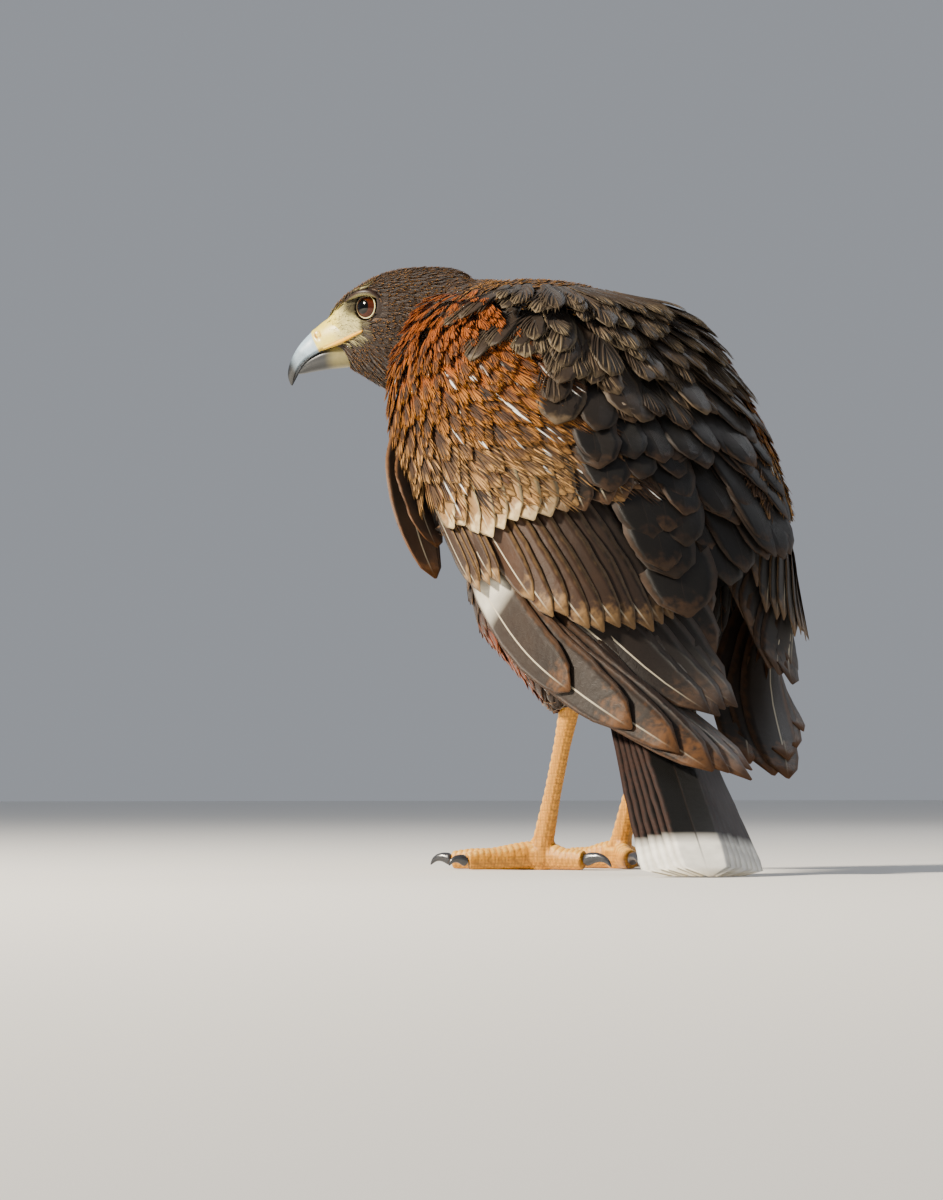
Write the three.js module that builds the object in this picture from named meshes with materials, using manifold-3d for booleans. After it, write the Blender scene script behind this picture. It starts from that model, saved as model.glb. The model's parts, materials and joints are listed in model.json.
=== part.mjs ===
// Harris hawk, life size, standing with its head turned to its left and its tail tip on the floor.
// Millimetres, +Z up. The bird faces -Y, its left is +X, and the origin is on the floor between its feet.
// The shoulders, the back and the wings are laid out in a frame of their own, turned a little to the left.

import * as THREE from "three";
import Module from "manifold-3d";

const wasm = await Module();
wasm.setup();

// Driving dimensions

const GAP = 0.3; // clear space that neighbouring pieces keep
const SHOULDER_TURN = 10; // degrees that the shoulders are turned to the left of the hips

// Outline of the bird with its wings folded, as level sections: height, centre behind the origin,
// half width, depth behind the centre, depth in front of it.
const FOLDED_OUTLINE = [
  [40, 138, 66, 50, 45],
  [70, 90, 79, 60, 48],
  [100, 48, 85, 64, 50],
  [130, 25, 88, 73, 62],
  [160, 10, 92, 80, 75],
  [190, -4, 95, 83, 80],
  [220, -16, 96, 79, 74],
  [250, -30, 92, 74, 61],
  [272, -38, 82, 66, 42],
  [289, -43, 65, 52, 34],
  [300, -48, 37, 31, 22],
  [305, -50, 6, 6, 6],
];
const OUTLINE_SQUARENESS = 2.5;

// Torso under the wings, as level sections in the same columns.
const TORSO_SECTIONS = [
  [86, 32, 17, 20, 16],
  [98, 28, 36, 38, 30],
  [118, 21, 54, 54, 46],
  [140, 13, 66, 62, 58],
  [165, 3, 73, 67, 65],
  [190, -6, 76, 69, 68],
  [215, -16, 76, 66, 66],
  [240, -28, 75, 62, 60],
  [262, -36, 72, 55, 50],
  [278, -42, 63, 47, 41],
  [289, -45, 47, 36, 32],
  [296, -48, 28, 22, 20],
];
const TORSO_ENDS = [82, 299];
const TORSO_SQUARENESS = 2.3;
const TORSO_SIDES = 20;

// Head, measured from the middle of the skull: forward, side, up.
const HEAD_CENTRE = [40.6, -118.6, 289];
const HEAD_TURN = 48; // degrees to the left of the hips
// forward, top, bottom, half width
const HEAD_SECTIONS = [
  [-30, 18.5, -47, 27],
  [-20, 22.0, -50, 26.5],
  [-5, 22.8, -49, 25],
  [7, 21.6, -46, 24],
  [16, 19.2, -42, 22],
  [24, 16.0, -37.5, 19],
  [32, 11.4, -32.5, 15.5],
  [38, 7.4, -29, 12],
  [43, 2.8, -26, 9.5],
];
const HEAD_BACK = -20; // where head and neck part
const NECK_PATH = [[34, -106, 274], [27, -90, 268], [19, -72, 261], [13, -56, 252]];
const NECK_RADII = [[28, 33], [33, 37], [41, 40], [50, 43]];
const NECK_SIDES = 14;

const EYE = {
  forward: 20, side: 10.6, up: 0.2, radius: 8.5, lid: 0.9,
  opening: [5.6, 6.0], flare: 1.6, openFrom: 2, openTo: 24, aim: 0.3,
};
const NOSTRIL = { forward: 50.6, side: 8.2, up: -12.6, radius: 1.5, length: 1.7, depth: 2.4 };
const ROUND = 12; // sides of the eyes, their lids and the bill
// Upper bill with its cere: top edge, lower edge, half width, from the forehead to the hook.
const BEAK_SECTIONS = [
  [38, 3.5, 36, -17.5, 9.2],
  [43.5, 0.8, 42, -19.2, 8.8],
  [48.5, -4.2, 46, -20.4, 8.2],
  [53.8, -9.4, 49.8, -21.6, 7.5],
  [58.8, -13, 53.6, -24, 6.6],
  [63.6, -17.4, 58, -27, 5.4],
  [66.9, -22, 61.4, -29.2, 4.1],
  [68.6, -27.2, 63.6, -32, 2.9],
  [68.3, -32.6, 65.2, -35.4, 1.6],
];
const BEAK_TIP = [66.6, -38];
const CERE_EDGE = [[56.2, -11.5], [50.0, -20.8]];
const LOWER_BILL_SECTIONS = [
  [36, -15.5, 36, -28.5, 7.4],
  [44, -17.5, 44.5, -29.6, 7.0],
  [50.5, -20, 51, -30.8, 6.0],
  [56, -23.5, 56.5, -32.2, 4.8],
  [60.4, -27.5, 60.8, -33.4, 3.2],
];
const LOWER_BILL_TIP = [63.2, -32.4];
const GAPE = [[23.7, -12.9], [32, -15.9], [40, -18.6], [47, -20.6]];
const MOUTH_SLOT = 0.8;
const MOUTH_REACH = 22; // how far the slot runs to each side, past the head
// Rim over the corner of the mouth: forward, distance from the middle, up, half width, half height
const GAPE_RIM = [
  [23.7, 15.9, -11.8, 0.7, 0.6],
  [32, 13.6, -14.8, 1.4, 1.1],
  [40, 10.2, -17.5, 1.5, 1.1],
  [47, 8.2, -19.5, 1.2, 0.8],
];
// Ridge of the brow, in the same columns
const BROW = [
  [36, 9.5, 6.2, 1.2, 0.9],
  [29, 15.2, 9, 2.4, 1.6],
  [21, 19.2, 10, 2.4, 1.7],
  [13, 20.8, 9.2, 1.2, 0.9],
];

// Legs: hind toe first, then inner, middle and outer. Toe headings are degrees to the left of the hips.
const FEET = [
  { side: "left", pad: [28, -8], heel: [28, 24, 87], headings: [206, -2, 38, 78] },
  { side: "right", pad: [-24, -20], heel: [-26, 12, 87], headings: [164, 26, -12, -50] },
];
const TOES = [
  { name: "hind", length: 25, root: 5.6, end: 4.2, claw: 26 },
  { name: "inner", length: 33, root: 5.6, end: 4.1, claw: 23 },
  { name: "middle", length: 47, root: 5.6, end: 3.9, claw: 19 },
  { name: "outer", length: 37, root: 5.2, end: 3.6, claw: 15 },
];
const PAD_RADIUS = 8.2;
const FLAT = 0.45; // how far soft toe pads press flat on the floor

// Tail
const TAIL_ROOT = [0, 18, 142];
const TAIL_SWING = 17; // degrees to the left of straight back
const TAIL_LENGTH = 240;
const TAIL_FEATHERS = 6; // on each side
const TAIL_FEATHER = { width: 25, thickness: 0.6, step: 0.85, fan: 0.68, spread: 0.8, root: 28 };
const TAIL_CORE = [
  // along, half width, half height
  [6, 15, 13],
  [40, 20, 13],
  [75, 17, 8],
  [105, 14, 3.5],
];
const TAIL_COVERTS = { count: 5, apart: 6.5, root: 45, length: 118, shorter: 7, width: 16, thickness: 0.9 };

// Small helpers

const rad = THREE.MathUtils.degToRad;
const clamp = THREE.MathUtils.clamp;
const lerp = THREE.MathUtils.lerp;
const vec = (x, y, z) => new THREE.Vector3(x, y, z);
const fromArray = (a) => new THREE.Vector3(...a);

function smooth(t) {
  const c = clamp(t, 0, 1);
  return c * c * (3 - 2 * c);
}

// Rows of numbers, read at a value of their first column on a smooth curve through them.
function readRows(rows, at) {
  const last = rows.length - 1;
  const key = clamp(at, rows[0][0], rows[last][0]);
  let i = 0;
  while (i < last - 1 && rows[i + 1][0] < key) i++;
  const span = rows[i + 1][0] - rows[i][0];
  const t = (key - rows[i][0]) / span;
  const slope = (k, c) => {
    const a = Math.max(k - 1, 0);
    const b = Math.min(k + 1, last);
    return (rows[b][c] - rows[a][c]) / (rows[b][0] - rows[a][0]);
  };
  return rows[i].slice(1).map((value, n) => {
    const c = n + 1;
    const m0 = slope(i, c) * span;
    const m1 = slope(i + 1, c) * span;
    const t2 = t * t;
    const t3 = t2 * t;
    return (2 * t3 - 3 * t2 + 1) * value + (t3 - 2 * t2 + t) * m0
      + (3 * t2 - 2 * t3) * rows[i + 1][c] + (t3 - t2) * m1;
  });
}

// Repeatable small variation
function makeRandom(seed) {
  let state = seed;
  return () => {
    state = (state * 1664525 + 1013904223) % 4294967296;
    return state / 4294967296 - 0.5;
  };
}

// Closed shapes from rings and grids

function shapeFrom(points, faces) {
  let volume = 0;
  for (const [a, b, c] of faces) {
    volume += points[a].dot(vec(0, 0, 0).crossVectors(points[b], points[c]));
  }
  const geometry = new THREE.BufferGeometry();
  geometry.setAttribute("position",
    new THREE.Float32BufferAttribute(points.flatMap((p) => [p.x, p.y, p.z]), 3));
  geometry.setIndex(faces.flatMap(([a, b, c]) => (volume > 0 ? [a, b, c] : [a, c, b])));
  return geometry;
}

// A skin over rings of equal count, closed at both ends by fans.
function loft(rings, startPoint, endPoint) {
  const count = rings[0].length;
  const points = rings.flat();
  const faces = [];
  for (let i = 0; i + 1 < rings.length; i++) {
    for (let j = 0; j < count; j++) {
      const a = i * count + j;
      const b = i * count + (j + 1) % count;
      faces.push([a, b, b + count], [a, b + count, a + count]);
    }
  }
  const middle = (ring) => ring.reduce((sum, p) => sum.add(p), vec(0, 0, 0)).divideScalar(count);
  const start = points.push(startPoint ?? middle(rings[0])) - 1;
  const end = points.push(endPoint ?? middle(rings.at(-1))) - 1;
  const base = (rings.length - 1) * count;
  for (let j = 0; j < count; j++) {
    const next = (j + 1) % count;
    faces.push([start, next, j], [end, base + j, base + next]);
  }
  return solidOf(shapeFrom(points, faces));
}

// A thin shell over a grid of places, each with its own rise above and depth below.
function plate(grid) {
  const rows = grid.length;
  const columns = grid[0].length;
  const cells = grid.flat();
  const points = [
    ...cells.map((c) => c.at.clone().addScaledVector(c.normal, c.rise)),
    ...cells.map((c) => c.at.clone().addScaledVector(c.normal, -c.depth)),
  ];
  const under = rows * columns;
  const faces = [];
  for (let i = 0; i + 1 < rows; i++) {
    for (let j = 0; j + 1 < columns; j++) {
      const a = i * columns + j;
      const b = a + 1;
      const c = b + columns;
      const d = a + columns;
      faces.push([a, b, c], [a, c, d]);
      faces.push([under + a, under + c, under + b], [under + a, under + d, under + c]);
    }
  }
  const rim = [];
  for (let j = 0; j < columns; j++) rim.push(j);
  for (let i = 1; i < rows; i++) rim.push(i * columns + columns - 1);
  for (let j = columns - 2; j >= 0; j--) rim.push((rows - 1) * columns + j);
  for (let i = rows - 2; i > 0; i--) rim.push(i * columns);
  rim.forEach((a, k) => {
    const b = rim[(k + 1) % rim.length];
    faces.push([a, under + b, b], [a, under + a, under + b]);
  });
  return solidOf(shapeFrom(points, faces));
}

// Joining and cutting

function solidOf(geometry) {
  return new wasm.Manifold(new wasm.Mesh({
    numProp: 3,
    vertProperties: new Float32Array(geometry.getAttribute("position").array),
    triVerts: new Uint32Array(geometry.getIndex().array),
  }));
}

function fuse(solids) {
  return solids.reduce((sum, solid) => sum.add(solid));
}

function cut(solid, tools) {
  return tools.reduce((rest, tool) => rest.subtract(tool), solid);
}

function largest(solid) {
  return solid.decompose().reduce((best, piece) => (piece.volume() > best.volume() ? piece : best));
}

const REACH = 900; // larger than the bird

// The half of space in front of a plane, as a big block.
function halfSpace(point, normal) {
  const block = new THREE.BoxGeometry(REACH, REACH, REACH);
  block.deleteAttribute("normal");
  block.deleteAttribute("uv");
  const corner = (x, y, z) => vec(x, y, z).multiplyScalar(REACH / 2);
  const points = [];
  for (const z of [-1, 1]) {
    points.push(corner(-1, -1, z), corner(1, -1, z), corner(1, 1, z), corner(-1, 1, z));
  }
  const turn = new THREE.Quaternion().setFromUnitVectors(vec(0, 0, 1), normal.clone().normalize());
  const centre = point.clone().addScaledVector(normal.clone().normalize(), REACH / 2);
  points.forEach((p) => p.applyQuaternion(turn).add(centre));
  const faces = [[0, 2, 1], [0, 3, 2], [4, 5, 6], [4, 6, 7]];
  for (let k = 0; k < 4; k++) {
    const n = (k + 1) % 4;
    faces.push([k, n, n + 4], [k, n + 4, k + 4]);
  }
  return solidOf(shapeFrom(points, faces));
}

// Frames

// A place in the frame of the shoulders, put in the bird's own frame.
const shoulderTurn = new THREE.Quaternion().setFromAxisAngle(vec(0, 0, 1), rad(SHOULDER_TURN));
const fromShoulders = (p) => p.clone().applyQuaternion(shoulderTurn);

const headForward = vec(Math.sin(rad(HEAD_TURN)), -Math.cos(rad(HEAD_TURN)), 0);
const headSide = vec(Math.cos(rad(HEAD_TURN)), Math.sin(rad(HEAD_TURN)), 0);

// A place on the head: forward, to the head's left, up.
function onHead(forward, side, up) {
  return fromArray(HEAD_CENTRE)
    .addScaledVector(headForward, forward)
    .addScaledVector(headSide, side)
    .add(vec(0, 0, up));
}

// Level section of a body, with its own depth in front and behind.
function levelRadius(section, angle, squareness, grow) {
  const [, halfWidth, behind, ahead] = section;
  const s = Math.abs(Math.sin(angle)) / (halfWidth + grow);
  const c = Math.abs(Math.cos(angle)) / ((Math.cos(angle) > 0 ? behind : ahead) + grow);
  return (s ** squareness + c ** squareness) ** (-1 / squareness);
}

// A place on the outline of the folded bird, in the frame of the shoulders.
// The angle is 0 behind and 90 degrees at the bird's left.
function outlinePlace(angle, height) {
  const section = readRows(FOLDED_OUTLINE, height);
  const a = rad(angle);
  const r = levelRadius(section, a, OUTLINE_SQUARENESS, 0);
  return vec(r * Math.sin(a), section[0] + r * Math.cos(a), height);
}

// The same place with its outward direction, lifted off the outline, and put in the bird's frame.
function onOutline(angle, height, lift = 0) {
  const step = 1.5;
  const at = outlinePlace(angle, height);
  const round = outlinePlace(angle + step, height).sub(outlinePlace(angle - step, height));
  const rise = outlinePlace(angle, height + step).sub(outlinePlace(angle, height - step));
  const normal = vec(0, 0, 0).crossVectors(rise, round).normalize();
  return { at: fromShoulders(at.addScaledVector(normal, lift)), normal: fromShoulders(normal) };
}

// Feather vanes

// Width of a vane along its length, from 0 at the root to 1 at the tip.
function vaneWidth(t, rootWidth, roundFrom) {
  const body = lerp(rootWidth, 1, smooth(t / 0.35));
  const tip = clamp((t - roundFrom) / (1 - roundFrom), 0, 1);
  return body * Math.sqrt(1 - 0.93 * tip ** 2.4);
}

// A vane follows a path of places with normals and leans to one side. A cambered one is 3 points wide,
// a plain one 2.
function vane(path, { width, thickness, lean = 0, camber = 0, shaft = 0.5, rootWidth = 0.5,
  roundFrom = 0.72, steps = 4 }) {
  const grid = [];
  for (let i = 0; i <= steps; i++) {
    const t = i / steps;
    const even = lerp(t, 1 - (1 - t) ** 1.6, 0.8);
    const here = path(even);
    const ahead = path(Math.min(even + 0.02, 1)).at.sub(path(Math.max(even - 0.02, 0)).at).normalize();
    const normal = here.normal.clone().applyAxisAngle(ahead, rad(lean));
    normal.addScaledVector(ahead, -normal.dot(ahead)).normalize();
    const across = vec(0, 0, 0).crossVectors(ahead, normal).normalize();
    const w = width * vaneWidth(even, rootWidth, roundFrom);
    const stations = camber > 0 ? [-shaft, 0, 1 - shaft] : [-shaft, 1 - shaft];
    const row = stations.map((side) => ({
      at: here.at.clone()
        .addScaledVector(across, side * w)
        .addScaledVector(normal, -camber * w * Math.abs(side) * 2),
      normal,
      rise: thickness / 2,
      depth: thickness / 2,
    }));
    grid.push(row);
  }
  return plate(grid);
}

// A path over the outline of the folded bird, from one place to another, with its own lifts.
function outlinePath(from, to, side) {
  return (t) => {
    const angle = lerp(from.angle, to.angle, t);
    const height = lerp(from.height, to.height, t);
    return onOutline(side * angle, height, lerp(from.lift, to.lift, smooth(t)));
  };
}

// Torso and neck

function torsoSolid(grow) {
  const rings = TORSO_SECTIONS.map((row) => {
    const section = readRows(TORSO_SECTIONS, row[0]);
    const ring = [];
    for (let k = 0; k < TORSO_SIDES; k++) {
      const a = (k / TORSO_SIDES) * 2 * Math.PI;
      const r = levelRadius(section, a, TORSO_SQUARENESS, grow);
      ring.push(fromShoulders(vec(r * Math.sin(a), section[0] + r * Math.cos(a), row[0])));
    }
    return ring;
  });
  const lowest = TORSO_SECTIONS[0];
  const highest = TORSO_SECTIONS.at(-1);
  return loft(rings,
    fromShoulders(vec(0, lowest[1], TORSO_ENDS[0] - grow)),
    fromShoulders(vec(0, highest[1], TORSO_ENDS[1] + grow)));
}

// Rings round a path, each with its own half width and half height.
function tube(path, radii, { sides = 12, grow = 0, up = vec(0, 0, 1), floor = -Infinity }) {
  const curve = new THREE.CatmullRomCurve3(path.map(fromArray), false, "centripetal");
  const rings = radii.map(([halfWidth, halfHeight], i) => {
    const t = i / (radii.length - 1);
    const at = curve.getPoint(t);
    const ahead = curve.getTangent(t);
    const side = vec(0, 0, 0).crossVectors(up, ahead).normalize();
    const above = vec(0, 0, 0).crossVectors(ahead, side).normalize();
    const extra = i === 0 ? -grow : i === radii.length - 1 ? grow : 0;
    const ring = [];
    for (let k = 0; k < sides; k++) {
      const a = (k / sides) * 2 * Math.PI;
      const p = at.clone()
        .addScaledVector(ahead, extra)
        .addScaledVector(side, (halfWidth + grow) * Math.cos(a))
        .addScaledVector(above, (halfHeight + grow) * Math.sin(a));
      p.z = Math.max(p.z, floor);
      ring.push(p);
    }
    return ring;
  });
  return loft(rings);
}

function neckSolid(grow) {
  return tube(NECK_PATH, NECK_RADII, { sides: NECK_SIDES, grow });
}

// Head

const HEAD_SIDES = 16;

function headShape() {
  const rings = HEAD_SECTIONS.map(([forward, top, bottom, halfWidth]) => {
    const level = lerp(top, bottom, 0.36);
    const ring = [];
    for (let k = 0; k < HEAD_SIDES; k++) {
      const a = (k / HEAD_SIDES) * 2 * Math.PI;
      const squareness = Math.sin(a) > 0 ? 2.3 : 1.8;
      const half = Math.sin(a) > 0 ? top - level : level - bottom;
      const s = Math.abs(Math.cos(a)) / halfWidth;
      const u = Math.abs(Math.sin(a)) / half;
      const r = (s ** squareness + u ** squareness) ** (-1 / squareness);
      ring.push(onHead(forward, r * Math.cos(a), level + r * Math.sin(a)));
    }
    return ring;
  });
  return loft(rings);
}

// A bill half: rings between a top and a lower edge.
function billShape(sections, tip, grow) {
  const rings = sections.map(([topForward, top, lowForward, low, halfWidth]) => {
    const ring = [];
    const midForward = (topForward + lowForward) / 2;
    const midUp = (top + low) / 2;
    const length = Math.hypot(topForward - lowForward, top - low) / 2;
    const stretch = (length + grow) / length;
    for (let k = 0; k < ROUND; k++) {
      const a = (k / ROUND) * 2 * Math.PI;
      const s = Math.sign(Math.cos(a)) * Math.abs(Math.cos(a)) ** 0.85;
      const u = Math.sign(Math.sin(a)) * Math.abs(Math.sin(a)) ** 0.9;
      ring.push(onHead(
        midForward + (topForward - midForward) * u * stretch,
        s * (halfWidth + grow),
        midUp + (top - midUp) * u * stretch,
      ));
    }
    return ring;
  });
  return loft(rings, undefined, onHead(tip[0] + grow, 0, tip[1] - grow));
}

function ball(centre, radii, segments) {
  const sphere = new THREE.SphereGeometry(1, segments, segments / 2);
  const rings = [];
  const across = segments / 2;
  for (let i = 1; i < across; i++) {
    const ring = [];
    for (let k = 0; k < segments; k++) {
      const v = i * (segments + 1) + k;
      const p = sphere.getAttribute("position");
      ring.push(vec(p.getX(v), p.getY(v), p.getZ(v)));
    }
    rings.push(ring);
  }
  const place = (p) => centre.clone()
    .addScaledVector(headForward, p.x * radii[0])
    .addScaledVector(headSide, p.z * radii[1])
    .add(vec(0, 0, p.y * radii[2]));
  return loft(rings.map((ring) => ring.map(place)), place(vec(0, 1, 0)), place(vec(0, -1, 0)));
}

function eyeball(side, grow) {
  const r = EYE.radius + grow;
  return ball(onHead(EYE.forward, side * EYE.side, EYE.up), [r, r, r], ROUND);
}

// The opening between the lids, as an oval bar along the way the eye looks.
function lidOpening(side) {
  const centre = onHead(EYE.forward, side * EYE.side, EYE.up);
  const look = headForward.clone().multiplyScalar(EYE.aim).addScaledVector(headSide, side).normalize();
  const path = [EYE.openFrom, EYE.openTo].map((d) => centre.clone().addScaledVector(look, d).toArray());
  return tube(path, [EYE.opening, EYE.opening.map((r) => r * EYE.flare)], { sides: ROUND });
}

function mouthSlot() {
  const curve = new THREE.CatmullRomCurve3(GAPE.map(([f, u]) => vec(f, 0, u)));
  const grid = [0, 0.33, 0.66, 1].map((t) => {
    const p = curve.getPoint(t);
    return [-MOUTH_REACH, MOUTH_REACH].map((side) => ({
      at: onHead(p.x, side, p.z),
      normal: vec(0, 0, 1),
      rise: MOUTH_SLOT / 2,
      depth: MOUTH_SLOT / 2,
    }));
  });
  return plate(grid);
}

// A ridge of skin along one side of the head.
function ridge(rows, side) {
  const places = rows.map(([forward, out, up]) => onHead(forward, side * out, up).toArray());
  return tube(places, rows.map((row) => row.slice(3)), { sides: 6 });
}

function nostrilHole(side) {
  return ball(onHead(NOSTRIL.forward, side * NOSTRIL.side, NOSTRIL.up),
    [NOSTRIL.length, NOSTRIL.depth, NOSTRIL.radius], 8);
}

function headParts() {
  const pieces = {};
  const backPlane = onHead(HEAD_BACK, 0, 0);
  const tilt = headForward.clone().add(vec(0, 0, 0.35)).normalize();
  const cerePlane = CERE_EDGE.map(([f, u]) => onHead(f, 0, u));
  const along = cerePlane[1].clone().sub(cerePlane[0]);
  const cereNormal = vec(0, 0, 0).crossVectors(headSide, along).normalize();
  if (cereNormal.dot(headForward) < 0) cereNormal.negate();

  const beak = billShape(BEAK_SECTIONS, BEAK_TIP, 0);
  const beakRoom = billShape(BEAK_SECTIONS, BEAK_TIP, GAP);
  const lower = billShape(LOWER_BILL_SECTIONS, LOWER_BILL_TIP, 0);
  const lowerRoom = billShape(LOWER_BILL_SECTIONS, LOWER_BILL_TIP, GAP);
  const past = (distance) => halfSpace(
    cerePlane[0].clone().addScaledVector(cereNormal, distance), cereNormal);

  pieces.bill_upper = beak.intersect(past(GAP / 2));
  pieces.cere = cut(beak, [past(-GAP / 2), nostrilHole(1), nostrilHole(-1)]);
  pieces.bill_lower = cut(lower, [beakRoom]);

  const lids = [1, -1].map((side) => eyeball(side, GAP + EYE.lid));
  const eyeRooms = [1, -1].map((side) => eyeball(side, GAP));
  const ridges = [1, -1].flatMap((side) => [ridge(GAPE_RIM, side), ridge(BROW, side)]);
  const whole = fuse([headShape(), ...lids, ...ridges]);
  const front = whole.intersect(halfSpace(backPlane.clone().addScaledVector(tilt, GAP / 2), tilt));
  pieces.head = cut(front,
    [beakRoom, lowerRoom, mouthSlot(), ...eyeRooms, lidOpening(1), lidOpening(-1)]);
  pieces.eye_left = eyeball(1, 0);
  pieces.eye_right = eyeball(-1, 0);

  const backOfHead = headShape().intersect(
    halfSpace(backPlane.clone().addScaledVector(tilt, -GAP / 2), tilt.clone().negate()));
  const neck = neckSolid(0).intersect(
    halfSpace(backPlane.clone().addScaledVector(tilt, -GAP / 2), tilt.clone().negate()));
  pieces.neck = cut(fuse([backOfHead, neck]), [torsoSolid(GAP)]);
  return pieces;
}

// Wings. Angles and heights are on the outline of the folded bird. The right wing's tip is drawn in
// over the tail, so its flight feathers end further round and higher.

const ARM_EDGES = [
  // angle, lower edge, upper edge
  [34, 198, 258],
  [48, 188, 272],
  [62, 180, 279],
  [76, 174, 283],
  [90, 168, 284],
  [104, 160, 282],
  [116, 166, 277],
  [130, 190, 268],
  [146, 216, 252],
];
const ARM_LIFT = -3.5;
const ARM_ROWS = 4;
const ARM_DEPTH = [6, 26]; // at the lower edge and higher up
const ARM_FRONT = { from: 122, over: 26, inward: 14 }; // the leading edge sinks in towards the breast

function armSolid(side) {
  const grid = ARM_EDGES.map(([angle, low, high]) => {
    const line = [];
    for (let k = 0; k <= ARM_ROWS; k++) {
      const height = lerp(low, high, k / ARM_ROWS);
      const inward = ARM_FRONT.inward * smooth((angle - ARM_FRONT.from) / ARM_FRONT.over);
      const place = onOutline(side * angle, height, ARM_LIFT - inward);
      const edge = smooth((height - low) / 45);
      line.push({ at: place.at, normal: place.normal, rise: 0, depth: lerp(...ARM_DEPTH, edge) });
    }
    return line;
  });
  return plate(grid);
}

// The hand, from the wrist down to where the outer flight feathers are rooted.
const HAND = [
  // angle, height, half width as an angle, thickness
  [112, 214, 9, 13],
  [110, 192, 10, 12],
  [106, 166, 9, 9],
  [101, 142, 5, 4],
];
const HAND_EDGE = 0.7; // thickness at its edges, as a share of that in its middle

function handSolid(side) {
  const grid = HAND.map(([angle, height, half, thick]) => [-half, 0, half].map((spread) => {
    const place = onOutline(side * (angle + spread), height, ARM_LIFT - 1);
    return { at: place.at, normal: place.normal, rise: 0, depth: thick * (spread ? HAND_EDGE : 1) };
  }));
  return plate(grid);
}

const WING_TIERS = {
  primaries: {
    count: 5, width: 26, thickness: 0.8, lean: 7, camber: 0.03, shaft: 0.65, steps: 4, roundFrom: 0.6,
    from: [{ angle: 101, height: 148, lift: -7 }, { angle: 104, height: 184, lift: -15 }],
    to: [[81, 86], [70, 62], [59, 50], [47, 50], [36, 58]],
    toRight: [[62, 98], [34, 84], [14, 73], [2, 69], [-6, 75]],
    lift: [-1, -11],
    liftRight: [-17, -26],
  },
  secondaries: {
    count: 6, width: 25, thickness: 0.8, lean: -9, shaft: 0.6, steps: 4, roundFrom: 0.78,
    from: [{ angle: 98, height: 180, lift: -9.5 }, { angle: 42, height: 208, lift: -8 }],
    to: [[39, 92], [32, 82], [24, 80], [17, 90], [11, 108], [7, 130]],
    toRight: [[38, 108], [31, 101], [24, 99], [17, 106], [11, 120], [7, 138]],
    lift: [-8, -4],
  },
  primaryCoverts: {
    count: 3, width: 16, thickness: 0.7, lean: -8, shaft: 0.6, steps: 3, roundFrom: 0.7,
    from: [{ angle: 106, height: 188, lift: -6 }, { angle: 94, height: 194, lift: -6 }],
    to: [[98, 138], [90, 138], [82, 142]],
    lift: [-2, -2],
  },
  greaterCoverts: {
    count: 7, width: 20, thickness: 0.7, lean: -6, shaft: 0.58, steps: 3, roundFrom: 0.74,
    from: [{ angle: 88, height: 190, lift: -6 }, { angle: 40, height: 214, lift: -6 }],
    to: [[73, 128], [63, 121], [53, 115], [42, 115], [31, 121], [21, 130], [14, 144]],
    lift: [-2.6, -1.4],
  },
  medianCoverts: {
    count: 6, width: 20, thickness: 0.7, lean: -6, shaft: 0.55, steps: 3, roundFrom: 0.7,
    from: [{ angle: 97, height: 206, lift: -5 }, { angle: 41, height: 226, lift: -5 }],
    to: [[92, 169], [81, 165], [70, 169], [58, 172], [46, 174], [34, 180]],
    lift: [-0.8, 0.2],
  },
  alula: {
    count: 2, width: 27, thickness: 1, lean: -58, shaft: 0.5, steps: 4, roundFrom: 0.5,
    from: [{ angle: 118, height: 222, lift: -6 }, { angle: 113, height: 210, lift: -6 }],
    to: [[112, 146], [106, 160]],
    lift: [5, 1],
  },
};

function tierVanes(tier, side, random) {
  const vanes = [];
  const ends = side < 0 && tier.toRight ? tier.toRight : tier.to;
  const lifts = side < 0 && tier.liftRight ? tier.liftRight : tier.lift;
  for (let i = 0; i < tier.count; i++) {
    const t = i / (tier.count - 1);
    const from = {};
    for (const key of ["angle", "height", "lift"]) from[key] = lerp(tier.from[0][key], tier.from[1][key], t);
    const to = {
      angle: ends[i][0] + random() * 1.2,
      height: ends[i][1] + random() * 2.5,
      lift: lerp(lifts[0], lifts[1], t),
    };
    const path = outlinePath(from, to, side);
    vanes.push(vane(path, {
      ...tier,
      lean: tier.lean * side,
      shaft: side > 0 ? tier.shaft : 1 - tier.shaft,
      width: tier.width * (1 + random() * 0.08),
    }));
  }
  return vanes;
}

function wingSolid(side, rooms) {
  const random = makeRandom(side > 0 ? 41 : 97);
  const vanes = Object.values(WING_TIERS).flatMap((tier) => tierVanes(tier, side, random));
  const whole = fuse([armSolid(side), handSolid(side), ...vanes]);
  return largest(cut(whole, rooms));
}

// The two wings are kept apart by a level cut that slants over the tail.
const PARTING = { through: [6, 110], to: [30, 160] };

function partingRoom(side) {
  const a = fromShoulders(vec(PARTING.through[0], PARTING.through[1], 0));
  const b = fromShoulders(vec(PARTING.to[0], PARTING.to[1], 0));
  const along = b.clone().sub(a).normalize();
  const leftward = vec(0, 0, 0).crossVectors(along, vec(0, 0, 1)).normalize();
  const away = leftward.multiplyScalar(-side);
  return halfSpace(a.clone().addScaledVector(away, -0.4), away);
}

// Back: the mantle between the wings, with the shoulder feathers that lie over them

const MANTLE_EDGE = 33.7;
const MANTLE_LOW = 196;
const MANTLE_HIGH = 293;

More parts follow.
